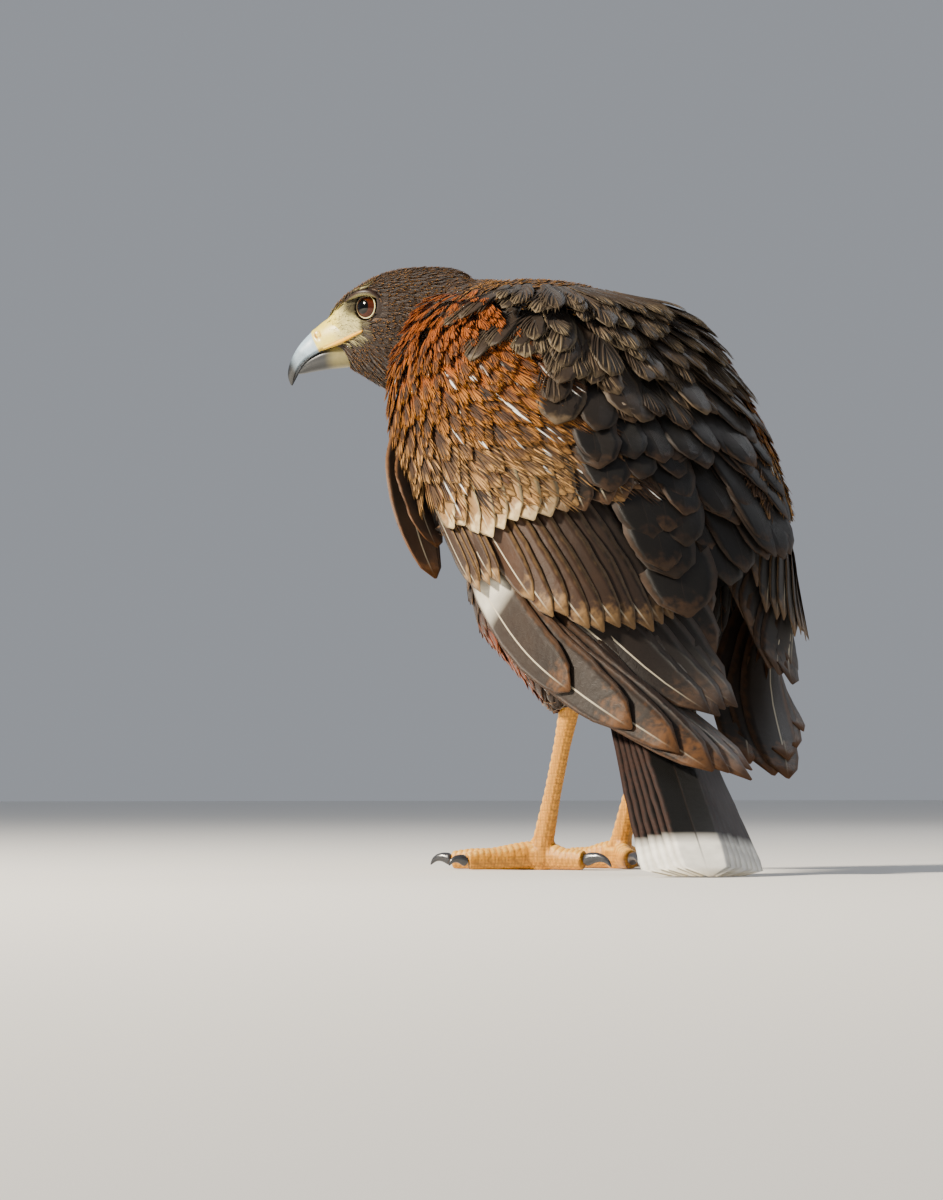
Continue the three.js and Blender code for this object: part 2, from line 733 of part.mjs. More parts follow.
function mantlePlate(grow) {
  const across = 6;
  const rows = 5;
  const grid = [];
  for (let i = 0; i <= across; i++) {
    const angle = lerp(-MANTLE_EDGE - grow, MANTLE_EDGE + grow, i / across);
    const line = [];
    for (let k = 0; k <= rows; k++) {
      const height = lerp(MANTLE_LOW - grow, MANTLE_HIGH, k / rows);
      const place = onOutline(angle, height, ARM_LIFT);
      const depth = lerp(7, 24, smooth((height - MANTLE_LOW) / 40)) + grow;
      line.push({ at: place.at, normal: place.normal, rise: grow, depth });
    }
    grid.push(line);
  }
  return plate(grid);
}

// Shoulder feathers in three rows, the upper rows over the lower ones and all of them over the wings.
function mantleVanes(grow) {
  const random = makeRandom(7);
  const vanes = [];
  for (const side of [1, -1]) {
    for (let row = 0; row < 3; row++) {
      for (let k = 0; k < 3; k++) {
        const from = { angle: 8 + k * 9, height: 276 - row * 24 - k * 5, lift: -5.5 };
        const to = {
          angle: 8 + k * 14 + random() * 2,
          height: 230 - row * 30 - k * 3 + random() * 4,
          lift: 1.2 + (2 - row) * 1.3,
        };
        vanes.push(vane(outlinePath(from, to, side), {
          width: 24 + 2 * grow, thickness: 0.8 + 2 * grow, lean: -4 * side, steps: 3, roundFrom: 0.66,
        }));
      }
    }
  }
  return vanes;
}

function mantleSolid(rooms) {
  return largest(cut(fuse([mantlePlate(0), ...mantleVanes(0)]), rooms));
}

// Tail

const tailDown = Math.asin(TAIL_ROOT[2] / TAIL_LENGTH);
const tailAlong = vec(
  Math.sin(rad(TAIL_SWING)) * Math.cos(tailDown),
  Math.cos(rad(TAIL_SWING)) * Math.cos(tailDown),
  -Math.sin(tailDown),
);
const tailAcross = vec(Math.cos(rad(TAIL_SWING)), -Math.sin(rad(TAIL_SWING)), 0);
const tailNormal = vec(0, 0, 0).crossVectors(tailAcross, tailAlong).normalize();
if (tailNormal.z < 0) tailNormal.negate();

function onTail(along, across, above) {
  return fromArray(TAIL_ROOT)
    .addScaledVector(tailAlong, along)
    .addScaledVector(tailAcross, across)
    .addScaledVector(tailNormal, above);
}

function tailVane(side, index, length) {
  const { root, width, thickness } = TAIL_FEATHER;
  const level = -(2 * index + (side > 0 ? 0 : 1)) * TAIL_FEATHER.step;
  const fan = side * (index + 0.5) * TAIL_FEATHER.fan;
  const base = side * (index + 0.5) * TAIL_FEATHER.spread;
  const path = (t) => {
    const along = lerp(root, length, t);
    const across = base + Math.tan(rad(fan)) * (along - root);
    return { at: onTail(along, across, level * smooth(along / 110)), normal: tailNormal };
  };
  return vane(path, {
    width, thickness, rootWidth: 0.6, roundFrom: 0.86, steps: 4,
  });
}

function tailCore() {
  const rings = TAIL_CORE.map(([along, halfWidth, halfHeight]) => {
    const ring = [];
    for (let k = 0; k < ROUND; k++) {
      const a = (k / ROUND) * 2 * Math.PI;
      ring.push(onTail(along, halfWidth * Math.cos(a), halfHeight * Math.sin(a) - 3));
    }
    return ring;
  });
  return loft(rings);
}

function tailSolid(rooms) {
  const random = makeRandom(23);
  const feathers = [];
  for (let i = 0; i < TAIL_FEATHERS; i++) {
    for (const side of [1, -1]) {
      const length = TAIL_LENGTH - i * 1.5 + random() * 3;
      feathers.push(tailVane(side, i, length));
    }
  }
  const { root, width, thickness } = TAIL_COVERTS;
  const middle = (TAIL_COVERTS.count - 1) / 2;
  const coverts = [];
  for (let i = 0; i < TAIL_COVERTS.count; i++) {
    const across = (i - middle) * TAIL_COVERTS.apart;
    const length = TAIL_COVERTS.length - Math.abs(i - middle) * TAIL_COVERTS.shorter;
    const path = (t) => ({
      at: onTail(lerp(root, length, t), across * lerp(0.9, 1.1, t), lerp(5, 1.8, smooth(t))),
      normal: tailNormal,
    });
    coverts.push(vane(path, { width, thickness, steps: 3, roundFrom: 0.66 }));
  }
  const above = halfSpace(vec(0, 0, 0), vec(0, 0, 1));
  const whole = fuse([tailCore(), ...feathers, ...coverts]).intersect(above);
  return largest(cut(whole, rooms));
}

// Space that the wings leave clear above the tail.
const TAIL_ROOM = { along: [20, 130, 250], across: [-38, 0, 38], rise: 3, depth: 16 };

function tailRoom() {
  const grid = TAIL_ROOM.along.map((along) => TAIL_ROOM.across.map((across) => ({
    at: onTail(along, across, 0),
    normal: tailNormal,
    rise: TAIL_ROOM.rise,
    depth: TAIL_ROOM.depth,
  })));
  return plate(grid);
}

// Legs

// Feathered thigh from the hip to the heel: share of the heel's distance from the middle, ahead of the
// heel, above it, half width, half depth
const THIGH = [
  [1.4, 32, 66, 29, 37],
  [1.36, 21, 42, 28, 34],
  [1.16, 8, 17, 20, 23],
  [1, 0, -6, 10.5, 12],
];

function thighSolid(foot, grow) {
  const [hx, hy, hz] = foot.heel;
  const path = THIGH.map(([share, ahead, above]) => [hx * share, hy - ahead, hz + above]);
  return tube(path, THIGH.map((row) => row.slice(3)), { sides: 14, grow, up: vec(0, -1, 0.4) });
}

function legPlaces(foot) {
  const heel = fromArray(foot.heel);
  const ankle = vec(foot.pad[0], foot.pad[1] + 3, 15);
  return { heel, ankle };
}

function tarsusSolid(foot, grow) {
  const { heel, ankle } = legPlaces(foot);
  const up = heel.clone().sub(ankle).normalize();
  const top = heel.clone().addScaledVector(up, 6);
  const path = [0, 0.3, 0.6, 0.85, 1].map((t) => ankle.clone().lerp(top, t).toArray());
  return tube(path, [[5.4, 6.2], [4.3, 5.1], [4.3, 5.1], [5.2, 6.2], [5.6, 6.6]],
    { sides: 8, grow, up: vec(0, -1, 0) });
}

// A toe runs out along the floor from the pad and ends in a flat face for its claw.
function toePath(foot, toe, heading) {
  const way = vec(Math.sin(rad(heading)), -Math.cos(rad(heading)), 0);
  const start = vec(foot.pad[0], foot.pad[1], 0).addScaledVector(way, 1);
  const heights = [7.4, 6.6, 5.4, 5.2, toe.end + 0.6];
  const reach = [0, 0.26, 0.52, 0.78, 1];
  return reach.map((part, i) => start.clone().addScaledVector(way, part * toe.length).setZ(heights[i]));
}

function toeSolid(foot, toe, heading) {
  const places = toePath(foot, toe, heading);
  const radii = [1, 0.96, 0.98, 0.9, 0.84].map((share, i) => {
    const r = lerp(toe.root, toe.end, i / 4) * (i === 4 ? 0.96 : share);
    const height = Math.max(r, places[i].z + FLAT);
    return [r, height];
  });
  return tube(places.map((p) => p.toArray()), radii, { sides: 8, floor: 0 });
}

function clawSolid(foot, toe, heading) {
  const places = toePath(foot, toe, heading);
  const end = places.at(-1);
  const ahead = end.clone().sub(places.at(-2)).normalize();
  const radius = toe.end * 0.82;
  const base = end.clone().addScaledVector(ahead, GAP);
  const way = vec(ahead.x, ahead.y, 0).normalize();
  const bend = toe.claw / 1.25;
  const stations = [0, 0.25, 0.5, 0.75, 1];
  const path = stations.map((t) => {
    const turn = t * 1.25;
    const rise = Math.cos(turn * 1.15 - 0.38) - Math.cos(-0.38);
    return base.clone()
      .addScaledVector(way, bend * Math.sin(turn) * 0.82)
      .setZ(base.z + bend * rise * 0.34 + 1.6 * Math.sin(Math.PI * t));
  });
  const low = path.at(-1).z;
  const lift = Math.max(0, 0.9 - low);
  path.forEach((p, i) => p.setZ(p.z + lift * stations[i]));
  const radii = stations.map((t) => {
    const r = radius * (1 - t) ** 0.8 + 0.35 * t;
    return [r * 0.9, r * 1.08];
  });
  const solid = tube(path.map((p) => p.toArray()), radii, { sides: 8, floor: 0.05 });
  return solid.intersect(halfSpace(base, ahead));
}

function footSolid(foot) {
  const pad = ball(vec(foot.pad[0], foot.pad[1], 6.6), [PAD_RADIUS, PAD_RADIUS, 8.4], 10);
  const toes = TOES.map((toe, i) => toeSolid(foot, toe, foot.headings[i]));
  const { heel, ankle } = legPlaces(foot);
  const up = heel.clone().sub(ankle).normalize();
  const stub = tube(
    [vec(foot.pad[0], foot.pad[1], 6).toArray(), ankle.clone().addScaledVector(up, 3).toArray()],
    [[6.5, 6.5], [5.6, 6.4]], { sides: 8, up: vec(0, -1, 0) });
  const below = halfSpace(ankle.clone().addScaledVector(up, -GAP), up.clone().negate());
  const floor = halfSpace(vec(0, 0, 0), vec(0, 0, 1));
  const whole = fuse([pad, stub.intersect(below), ...toes]).intersect(floor);
  return largest(whole.subtract(tarsusSolid(foot, GAP)));
}

// Assembly

const COLOURS = {
  torso: 0x3a2a20, neck: 0x46301f, head: 0x4a3423, cere: 0xd8cf7a, bill_upper: 0x8795a0,
  bill_lower: 0x3b3f44, eye: 0x2a130b, wing: 0x6b4226, mantle: 0x4b3b2e, tail: 0x1f1714,
  thigh: 0x7a3a1c, tarsus: 0xd99a3a, foot: 0xe0a545, claw: 0x24262a,
};

const hawk = new THREE.Group();
hawk.name = "harris_hawk";

function add(name, solid, colour, roughness = 0.8) {
  const { numProp, vertProperties, triVerts } = solid.getMesh();
  const positions = [];
  for (let v = 0; v < vertProperties.length; v += numProp) {
    positions.push(vertProperties[v], vertProperties[v + 1], vertProperties[v + 2]);
  }
  const geometry = new THREE.BufferGeometry();
  geometry.setAttribute("position", new THREE.Float32BufferAttribute(positions, 3));
  geometry.setIndex(Array.from(triVerts));
  geometry.computeVertexNormals();
  const mesh = new THREE.Mesh(geometry, new THREE.MeshStandardMaterial({ color: colour, roughness }));
  mesh.name = name;
  hawk.add(mesh);
}

const torsoRoom = torsoSolid(GAP);
const head = headParts();
const neckRoom = neckSolid(GAP);

const tarsusRooms = FEET.map((foot) => tarsusSolid(foot, GAP));
add("torso", cut(torsoSolid(0), tarsusRooms), COLOURS.torso);
add("neck", largest(head.neck), COLOURS.neck);
add("head", largest(head.head), COLOURS.head);
add("cere", largest(head.cere), COLOURS.cere, 0.5);
add("bill_upper", largest(head.bill_upper), COLOURS.bill_upper, 0.35);
add("bill_lower", largest(head.bill_lower), COLOURS.bill_lower, 0.35);
add("eye_left", head.eye_left, COLOURS.eye, 0.1);
add("eye_right", head.eye_right, COLOURS.eye, 0.1);

const thighRooms = FEET.map((foot) => thighSolid(foot, GAP));
const mantleRooms = [mantlePlate(GAP), ...mantleVanes(GAP)];
for (const [side, name] of [[1, "left"], [-1, "right"]]) {
  const rooms = [torsoRoom, neckRoom, ...thighRooms, ...mantleRooms, tailRoom(), partingRoom(side)];
  add(`wing_${name}`, wingSolid(side, rooms), COLOURS.wing);
}
add("mantle", mantleSolid([torsoRoom, neckRoom]), COLOURS.mantle);
add("tail", tailSolid([torsoRoom]), COLOURS.tail);

for (const foot of FEET) {
  add(`thigh_${foot.side}`,
    largest(cut(thighSolid(foot, 0), [torsoRoom, tarsusSolid(foot, GAP)])), COLOURS.thigh);
  add(`tarsus_${foot.side}`, tarsusSolid(foot, 0), COLOURS.tarsus, 0.55);
  add(`foot_${foot.side}`, footSolid(foot), COLOURS.foot, 0.55);
  TOES.forEach((toe, i) => {
    add(`claw_${foot.side}_${toe.name}`, largest(clawSolid(foot, toe, foot.headings[i])),
      COLOURS.claw, 0.3);
  });
}

export default hawk;
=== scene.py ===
"""Looks of a life-size Harris hawk: skin, feathers, bill, eyes, legs, floor, light and camera.

Lengths in this script are millimetres, and become metres where a mesh is made. The panel's own
sizes are metres.
"""

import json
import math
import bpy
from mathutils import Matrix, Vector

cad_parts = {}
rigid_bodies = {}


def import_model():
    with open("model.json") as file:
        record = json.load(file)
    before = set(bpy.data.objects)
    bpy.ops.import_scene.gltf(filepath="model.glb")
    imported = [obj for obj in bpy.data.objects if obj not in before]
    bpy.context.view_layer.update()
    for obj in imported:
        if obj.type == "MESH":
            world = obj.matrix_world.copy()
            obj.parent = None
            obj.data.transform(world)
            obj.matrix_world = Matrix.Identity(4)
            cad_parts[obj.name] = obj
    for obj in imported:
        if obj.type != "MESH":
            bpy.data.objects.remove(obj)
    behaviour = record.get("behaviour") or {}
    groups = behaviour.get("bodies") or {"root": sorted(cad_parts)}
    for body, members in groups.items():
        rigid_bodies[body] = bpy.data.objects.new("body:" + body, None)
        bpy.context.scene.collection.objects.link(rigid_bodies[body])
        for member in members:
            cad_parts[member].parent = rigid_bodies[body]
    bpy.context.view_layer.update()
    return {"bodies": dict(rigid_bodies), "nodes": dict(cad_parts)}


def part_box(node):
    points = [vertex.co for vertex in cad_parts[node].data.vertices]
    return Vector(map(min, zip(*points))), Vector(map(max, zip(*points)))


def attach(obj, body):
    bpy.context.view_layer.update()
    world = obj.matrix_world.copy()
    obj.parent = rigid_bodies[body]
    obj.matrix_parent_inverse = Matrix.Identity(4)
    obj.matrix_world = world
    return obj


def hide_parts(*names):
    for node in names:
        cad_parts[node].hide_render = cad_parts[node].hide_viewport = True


bl_info = {
    "name": "Harris Hawk Plumage",
    "version": (1, 0, 0),
    "blender": (4, 5, 0),
    "location": "View3D > Sidebar > Hawk",
    "description": "Dresses the packed hawk in skin, feathers, horn and scales",
    "category": "Object",
}

import bmesh
import bpy
import numpy as np
from mathutils import Matrix, Vector
from mathutils.bvhtree import BVHTree

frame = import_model()
BODY = next(iter(frame["bodies"]))

MM = 0.001
# Vertices nearer than this are merged in copies of the solids
MERGE_WITHIN = 0.02

# The folded bird's outline, as level sections: height, centre behind the origin, half width,
# depth behind the centre, depth in front of it.
FOLDED_OUTLINE = [
    [40, 138, 66, 50, 45],
    [70, 90, 79, 60, 48],
    [100, 48, 85, 64, 50],
    [130, 25, 88, 73, 62],
    [160, 10, 92, 80, 75],
    [190, -4, 95, 83, 80],
    [220, -16, 96, 79, 74],
    [250, -30, 92, 74, 61],
    [272, -38, 82, 66, 42],
    [289, -43, 65, 52, 34],
    [300, -48, 37, 31, 22],
    [305, -50, 6, 6, 6],
]
OUTLINE_SQUARENESS = 2.5
SHOULDER_TURN = 10.0

HEAD_CENTRE = np.array([40.6, -118.6, 289.0])
HEAD_TURN = math.radians(48)
HEAD_FORWARD = np.array([math.sin(HEAD_TURN), -math.cos(HEAD_TURN), 0.0])
HEAD_LEFT = np.array([math.cos(HEAD_TURN), math.sin(HEAD_TURN), 0.0])
# Where the head's small feathers start, forward of the head's centre
HEAD_FEATHERS_FROM = -34
UP = np.array([0.0, 0.0, 1.0])

TAIL_ROOT = np.array([0.0, 18.0, 142.0])
TAIL_SWING = math.radians(17)
TAIL_LENGTH = 240.0

GAPE_LINE = [(23.7, -12.9), (32, -15.9), (40, -18.6), (47, -20.6)]
GAPE_HALF_WIDTHS = [(23.7, 17.0), (28, 15.6), (32, 13.9), (36, 12.0), (40, 10.6), (44, 9.4), (47, 8.5)]

# Name of each colour: sRGB hex digits and what it is on the bird
HEX = {
    "rufous": ("8c4604", "Shoulder coverts"),
    "rufous_pale": ("a86a1e", "Fringe of the middle coverts"),
    "tan": ("c49a62", "Worn fringe of the larger coverts"),
    "cream": ("ecd3a0", "Tips of the median coverts"),
    "covert_brown": ("4e2f14", "Larger coverts"),
    # Painted shade of the coverts beside the back, where little light falls
    "covert_shade": ("241810", "Coverts beside the back"),
    "drop": ("2a1a10", "Drop marks of the coverts"),
    # Near-black, partly painted shade of the back
    "back": ("0c0704", "Back feathers"),
    "back_edge": ("5a3f28", "Fringe of the back feathers"),
    # Upper back colour and fringe: brown, painted paler and greyer, partly as painted sunlight
    "sunlit_grey_edge": ("7a6a50", "Fringe of the upper back"),
    "sunlit_mantle_brown": ("2e2115", "Upper back"),
    "head": ("241205", "Head feathers"),
    "head_edge": ("c48a44", "Streaks of the head"),
    "throat": ("1a100a", "Throat"),
    "breast": ("22160e", "Breast and belly"),
    "thigh": ("7a3512", "Leg feathers"),
    "secondary": ("1c120b", "Secondaries"),
    "primary": ("2a1d12", "Primaries"),
    "primary_edge": ("94602e", "Fringe of the primaries"),
    "primary_white": ("e8e2d2", "Base of the primaries"),
    "tail": ("040302", "Tail feathers"),
    "tail_edge": ("4a2410", "Fringe of the tail feathers"),
    "white": ("f6f3ea", "End band and undertail coverts"),
    "tail_tip": ("cdbb94", "Worn tip of the tail"),
    "shaft_pale": ("c8bda4", "Shafts of the flight feathers"),
    "shaft_dark": ("1a110b", "Other shafts"),
    "cere": ("e6d056", "Cere"),
    "lore": ("b5ab72", "Bare skin before the eye"),
    # Painted shade of the hollow before the eye, also laid on the eye's rim and the loral bristles
    "socket": ("2e2812", "Hollow before the eye"),
    "gape": ("f2b21a", "Edge of the mouth"),
    "bill": ("a4bccf", "Bill"),
    "bill_tip": ("0e1013", "Tip of the bill"),
    "bill_low": ("1d2024", "Lower bill"),
    "bill_base": ("7d7342", "Base of the lower bill"),
    "nostril": ("a8581a", "Rim of the nostril"),
    "leg": ("d8942e", "Legs"),
    "leg_pale": ("efc870", "Scales"),
    "claw": ("1b1c20", "Claws"),
    "claw_worn": ("3a3c42", "Worn parts of the claws"),
    "iris": ("381505", "Iris"),
    "lid": ("cfc690", "Rim of the eye"),
    "floor": ("e9e7e3", "Floor"),
}

# Sizes that a user would change, in metres, and what each one is
SIZES = {
    "skin_voxel": (0.0015, "Grain of the skin's mesh"),
    "coat_depth": (0.0016, "How deep the skin lies under the feathers' surface"),
    "vane_thickness": (0.0006, "Thickness of a flight feather at its shaft"),
    "covert_thickness": (0.0004, "Thickness of a covert at its shaft"),
    "lock_width": (0.0011, "Width of a lock of loose barbs"),
    "tail_width": (0.025, "Width of a tail feather"),
    "lid_width": (0.0006, "Width of the bare rim round the eye"),
}


# Small helpers

def linear(code):
    """A colour written as sRGB hex digits, as linear values with alpha."""
    values = [int(code[i:i + 2], 16) / 255 for i in (0, 2, 4)]
    return [v / 12.92 if v <= 0.04045 else ((v + 0.055) / 1.055) ** 2.4 for v in values] + [1.0]


def tint(name):
    """A colour from the panel, as linear values."""
    return np.array(getattr(bpy.context.scene.hawk_colours, name), float)[:3]


def millimetres(name):
    """A size from the panel, in millimetres."""
    return getattr(bpy.context.scene.hawk_sizes, name) / MM


def lerp(a, b, t):
    return a + (b - a) * t


def smooth(t):
    c = np.clip(t, 0.0, 1.0)
    return c * c * (3 - 2 * c)


def unit(v):
    return v / np.maximum(np.linalg.norm(v, axis=-1, keepdims=True), 1e-9)


def mix(a, b, share):
    """Colours a and b mixed, with a share for each place."""
    share = np.asarray(share, float)[..., None]
    return a * (1 - share) + b * share


def read_rows(rows, at):
    """Rows of numbers, read at values of their first column on a smooth curve through them."""
    rows = np.asarray(rows, float)
    keys, count = rows[:, 0], len(rows)
    at = np.clip(at, keys[0], keys[-1])
    i = np.clip(np.searchsorted(keys, at) - 1, 0, count - 2)
    order = np.arange(count)
    before, after = np.maximum(order - 1, 0), np.minimum(order + 1, count - 1)
    slope = (rows[after, 1:] - rows[before, 1:]) / (keys[after] - keys[before])[:, None]
    span = (keys[i + 1] - keys[i])[..., None]
    t = (at - keys[i])[..., None] / span
    return ((2 * t ** 3 - 3 * t ** 2 + 1) * rows[i, 1:] + (t ** 3 - 2 * t ** 2 + t) * slope[i] * span
            + (3 * t ** 2 - 2 * t ** 3) * rows[i + 1, 1:] + (t ** 3 - t ** 2) * slope[i + 1] * span)


def turned(points, way=1):
    """Places in the frame of the shoulders, put in the bird's own frame, or back with way -1."""
    a = way * math.radians(SHOULDER_TURN)
    x, y, z = np.moveaxis(points, -1, 0)
    return np.stack([x * math.cos(a) - y * math.sin(a), x * math.sin(a) + y * math.cos(a), z], -1)


def outline_place(angle, height):
    centre, half, behind, ahead = np.moveaxis(read_rows(FOLDED_OUTLINE, height), -1, 0)
    a = np.radians(angle)
    s = np.abs(np.sin(a)) / half
    c = np.abs(np.cos(a)) / np.where(np.cos(a) > 0, behind, ahead)
    r = (s ** OUTLINE_SQUARENESS + c ** OUTLINE_SQUARENESS) ** (-1 / OUTLINE_SQUARENESS)
    return np.stack([r * np.sin(a), centre + r * np.cos(a), np.broadcast_to(height, r.shape)], -1)


def on_outline(angle, height, lift=0.0):
    """Places on the folded bird's outline with their outward directions. The angle is 0 behind
    and 90 degrees at the bird's left."""
    angle, height = np.broadcast_arrays(np.asarray(angle, float), np.asarray(height, float))
    step = 1.5
    around = outline_place(angle + step, height) - outline_place(angle - step, height)
    rise = outline_place(angle, height + step) - outline_place(angle, height - step)
    normal = unit(np.cross(rise, around))
    at = outline_place(angle, height) + normal * np.asarray(lift, float)[..., None]
    return turned(at), turned(normal)


def angle_on_outline(points):
    """The angle round the folded bird of each place, and its height."""
    p = turned(points, -1)
    centre = read_rows(FOLDED_OUTLINE, p[..., 2])[..., 0]
    return np.degrees(np.arctan2(p[..., 0], p[..., 1] - centre)), p[..., 2]


def on_head(forward, left, up):
    return (HEAD_CENTRE + np.multiply.outer(forward, HEAD_FORWARD)
            + np.multiply.outer(left, HEAD_LEFT) + np.multiply.outer(up, UP))


def head_places(points):
    """Places in the head's own directions: forward, left, up."""
    p = points - HEAD_CENTRE
    return p @ HEAD_FORWARD, p @ HEAD_LEFT, p[..., 2]


# Meshes and objects

def to_mesh(name, points, faces):
    mesh = bpy.data.meshes.new(name)
    mesh.from_pydata(np.asarray(points) * MM, [], np.asarray(faces).tolist())
    mesh.update()
    return mesh


def place(mesh, name, material, slot, *replaced):
    """A finished mesh as a piece of the bird."""
    mesh.polygons.foreach_set("use_smooth", np.ones(len(mesh.polygons), bool))
    piece = bpy.data.objects.new(name, mesh)
    bpy.context.scene.collection.objects.link(piece)
    mesh.materials.clear()
    mesh.materials.append(material)
    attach(piece, BODY)
    if replaced:
        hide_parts(*replaced)
    return piece


def points_of(mesh):
    flat = np.empty(len(mesh.vertices) * 3, np.float32)
    mesh.vertices.foreach_get("co", flat)
    return flat.reshape(-1, 3).astype(float) / MM


def set_points(mesh, points):
    mesh.vertices.foreach_set("co", (np.asarray(points) * MM).astype(np.float32).ravel())
    mesh.update()


def normals_of(mesh):
    flat = np.empty(len(mesh.vertices) * 3, np.float32)
    mesh.vertex_normals.foreach_get("vector", flat)
    return flat.reshape(-1, 3).astype(float)


def store(mesh, name, values):
    """Keeps a colour or a vector for each vertex."""
    kind = "FLOAT_COLOR" if values.shape[1] == 4 else "FLOAT_VECTOR"
    attribute = mesh.attributes.new(name, kind, "POINT")
    key = "color" if kind == "FLOAT_COLOR" else "vector"
    attribute.data.foreach_set(key, np.ascontiguousarray(values, np.float32).ravel())


def with_alpha(colour):
    return np.concatenate([colour, np.ones_like(colour[..., :1])], -1)


def finished(bm, name):
    """The mesh of a bmesh, which is freed."""
    mesh = bpy.data.meshes.new(name)
    bm.to_mesh(mesh)
    bm.free()
    return mesh


def merged_copy(names, extra=()):
    """One mesh of copies of the frame's nodes and other meshes, with doubled vertices merged."""
    bm = bmesh.new()
    for name in names:
        bm.from_mesh(frame["nodes"][name].data)
    for mesh in extra:
        bm.from_mesh(mesh)
    bmesh.ops.remove_doubles(bm, verts=bm.verts, dist=MERGE_WITHIN * MM)
    return finished(bm, "merged")


def remeshed(mesh, voxel, rounds):
    """The outer form of a mesh as an even one, smoothed."""
    holder = bpy.data.objects.new("holder", mesh)
    bpy.context.scene.collection.objects.link(holder)
    remesh = holder.modifiers.new("even", "REMESH")
    remesh.mode = "VOXEL"
    remesh.voxel_size = voxel * MM
    remesh.adaptivity = 0
    graph = bpy.context.evaluated_depsgraph_get()
    even = bpy.data.meshes.new_from_object(holder.evaluated_get(graph))
    bpy.data.objects.remove(holder)
    bm = bmesh.new()
    bm.from_mesh(even)
    for _ in range(rounds):
        bmesh.ops.smooth_vert(bm, verts=bm.verts, factor=0.5,
                              use_axis_x=True, use_axis_y=True, use_axis_z=True)
    bm.to_mesh(even)
    bm.free()
    return even


# Materials

def add_node(tree, kind, links=(), **settings):
    """Adds a node with its settings, and links or sets its inputs. A node given for an input
    stands for its first output in use."""
    node = tree.nodes.new("ShaderNode" + kind)
    for key, value in settings.items():
        setattr(node, key, value)
    for socket, source in dict(links).items():
        if isinstance(source, bpy.types.Node):
            source = next(out for out in source.outputs if out.enabled)
        if isinstance(source, bpy.types.NodeSocket):
            tree.links.new(source, node.inputs[socket])
        else:
            node.inputs[socket].default_value = source
    return node


def new_material(name, **settings):
    """A material with one surface shader, whose even settings stand on its own sockets."""
    material = bpy.data.materials.new(name)
    material.use_nodes = True
    tree = material.node_tree
    shader = next(n for n in tree.nodes if n.type == "BSDF_PRINCIPLED")
    for key, value in settings.items():
        shader.inputs[key].default_value = value
    return material, tree, shader


def surfaced(material, tree, shader, colour, bump):
    """The material, with its colour and its bump linked to its shader."""
    tree.links.new(colour.outputs[2], shader.inputs["Base Color"])
    tree.links.new(bump.outputs["Normal"], shader.inputs["Normal"])
    return material


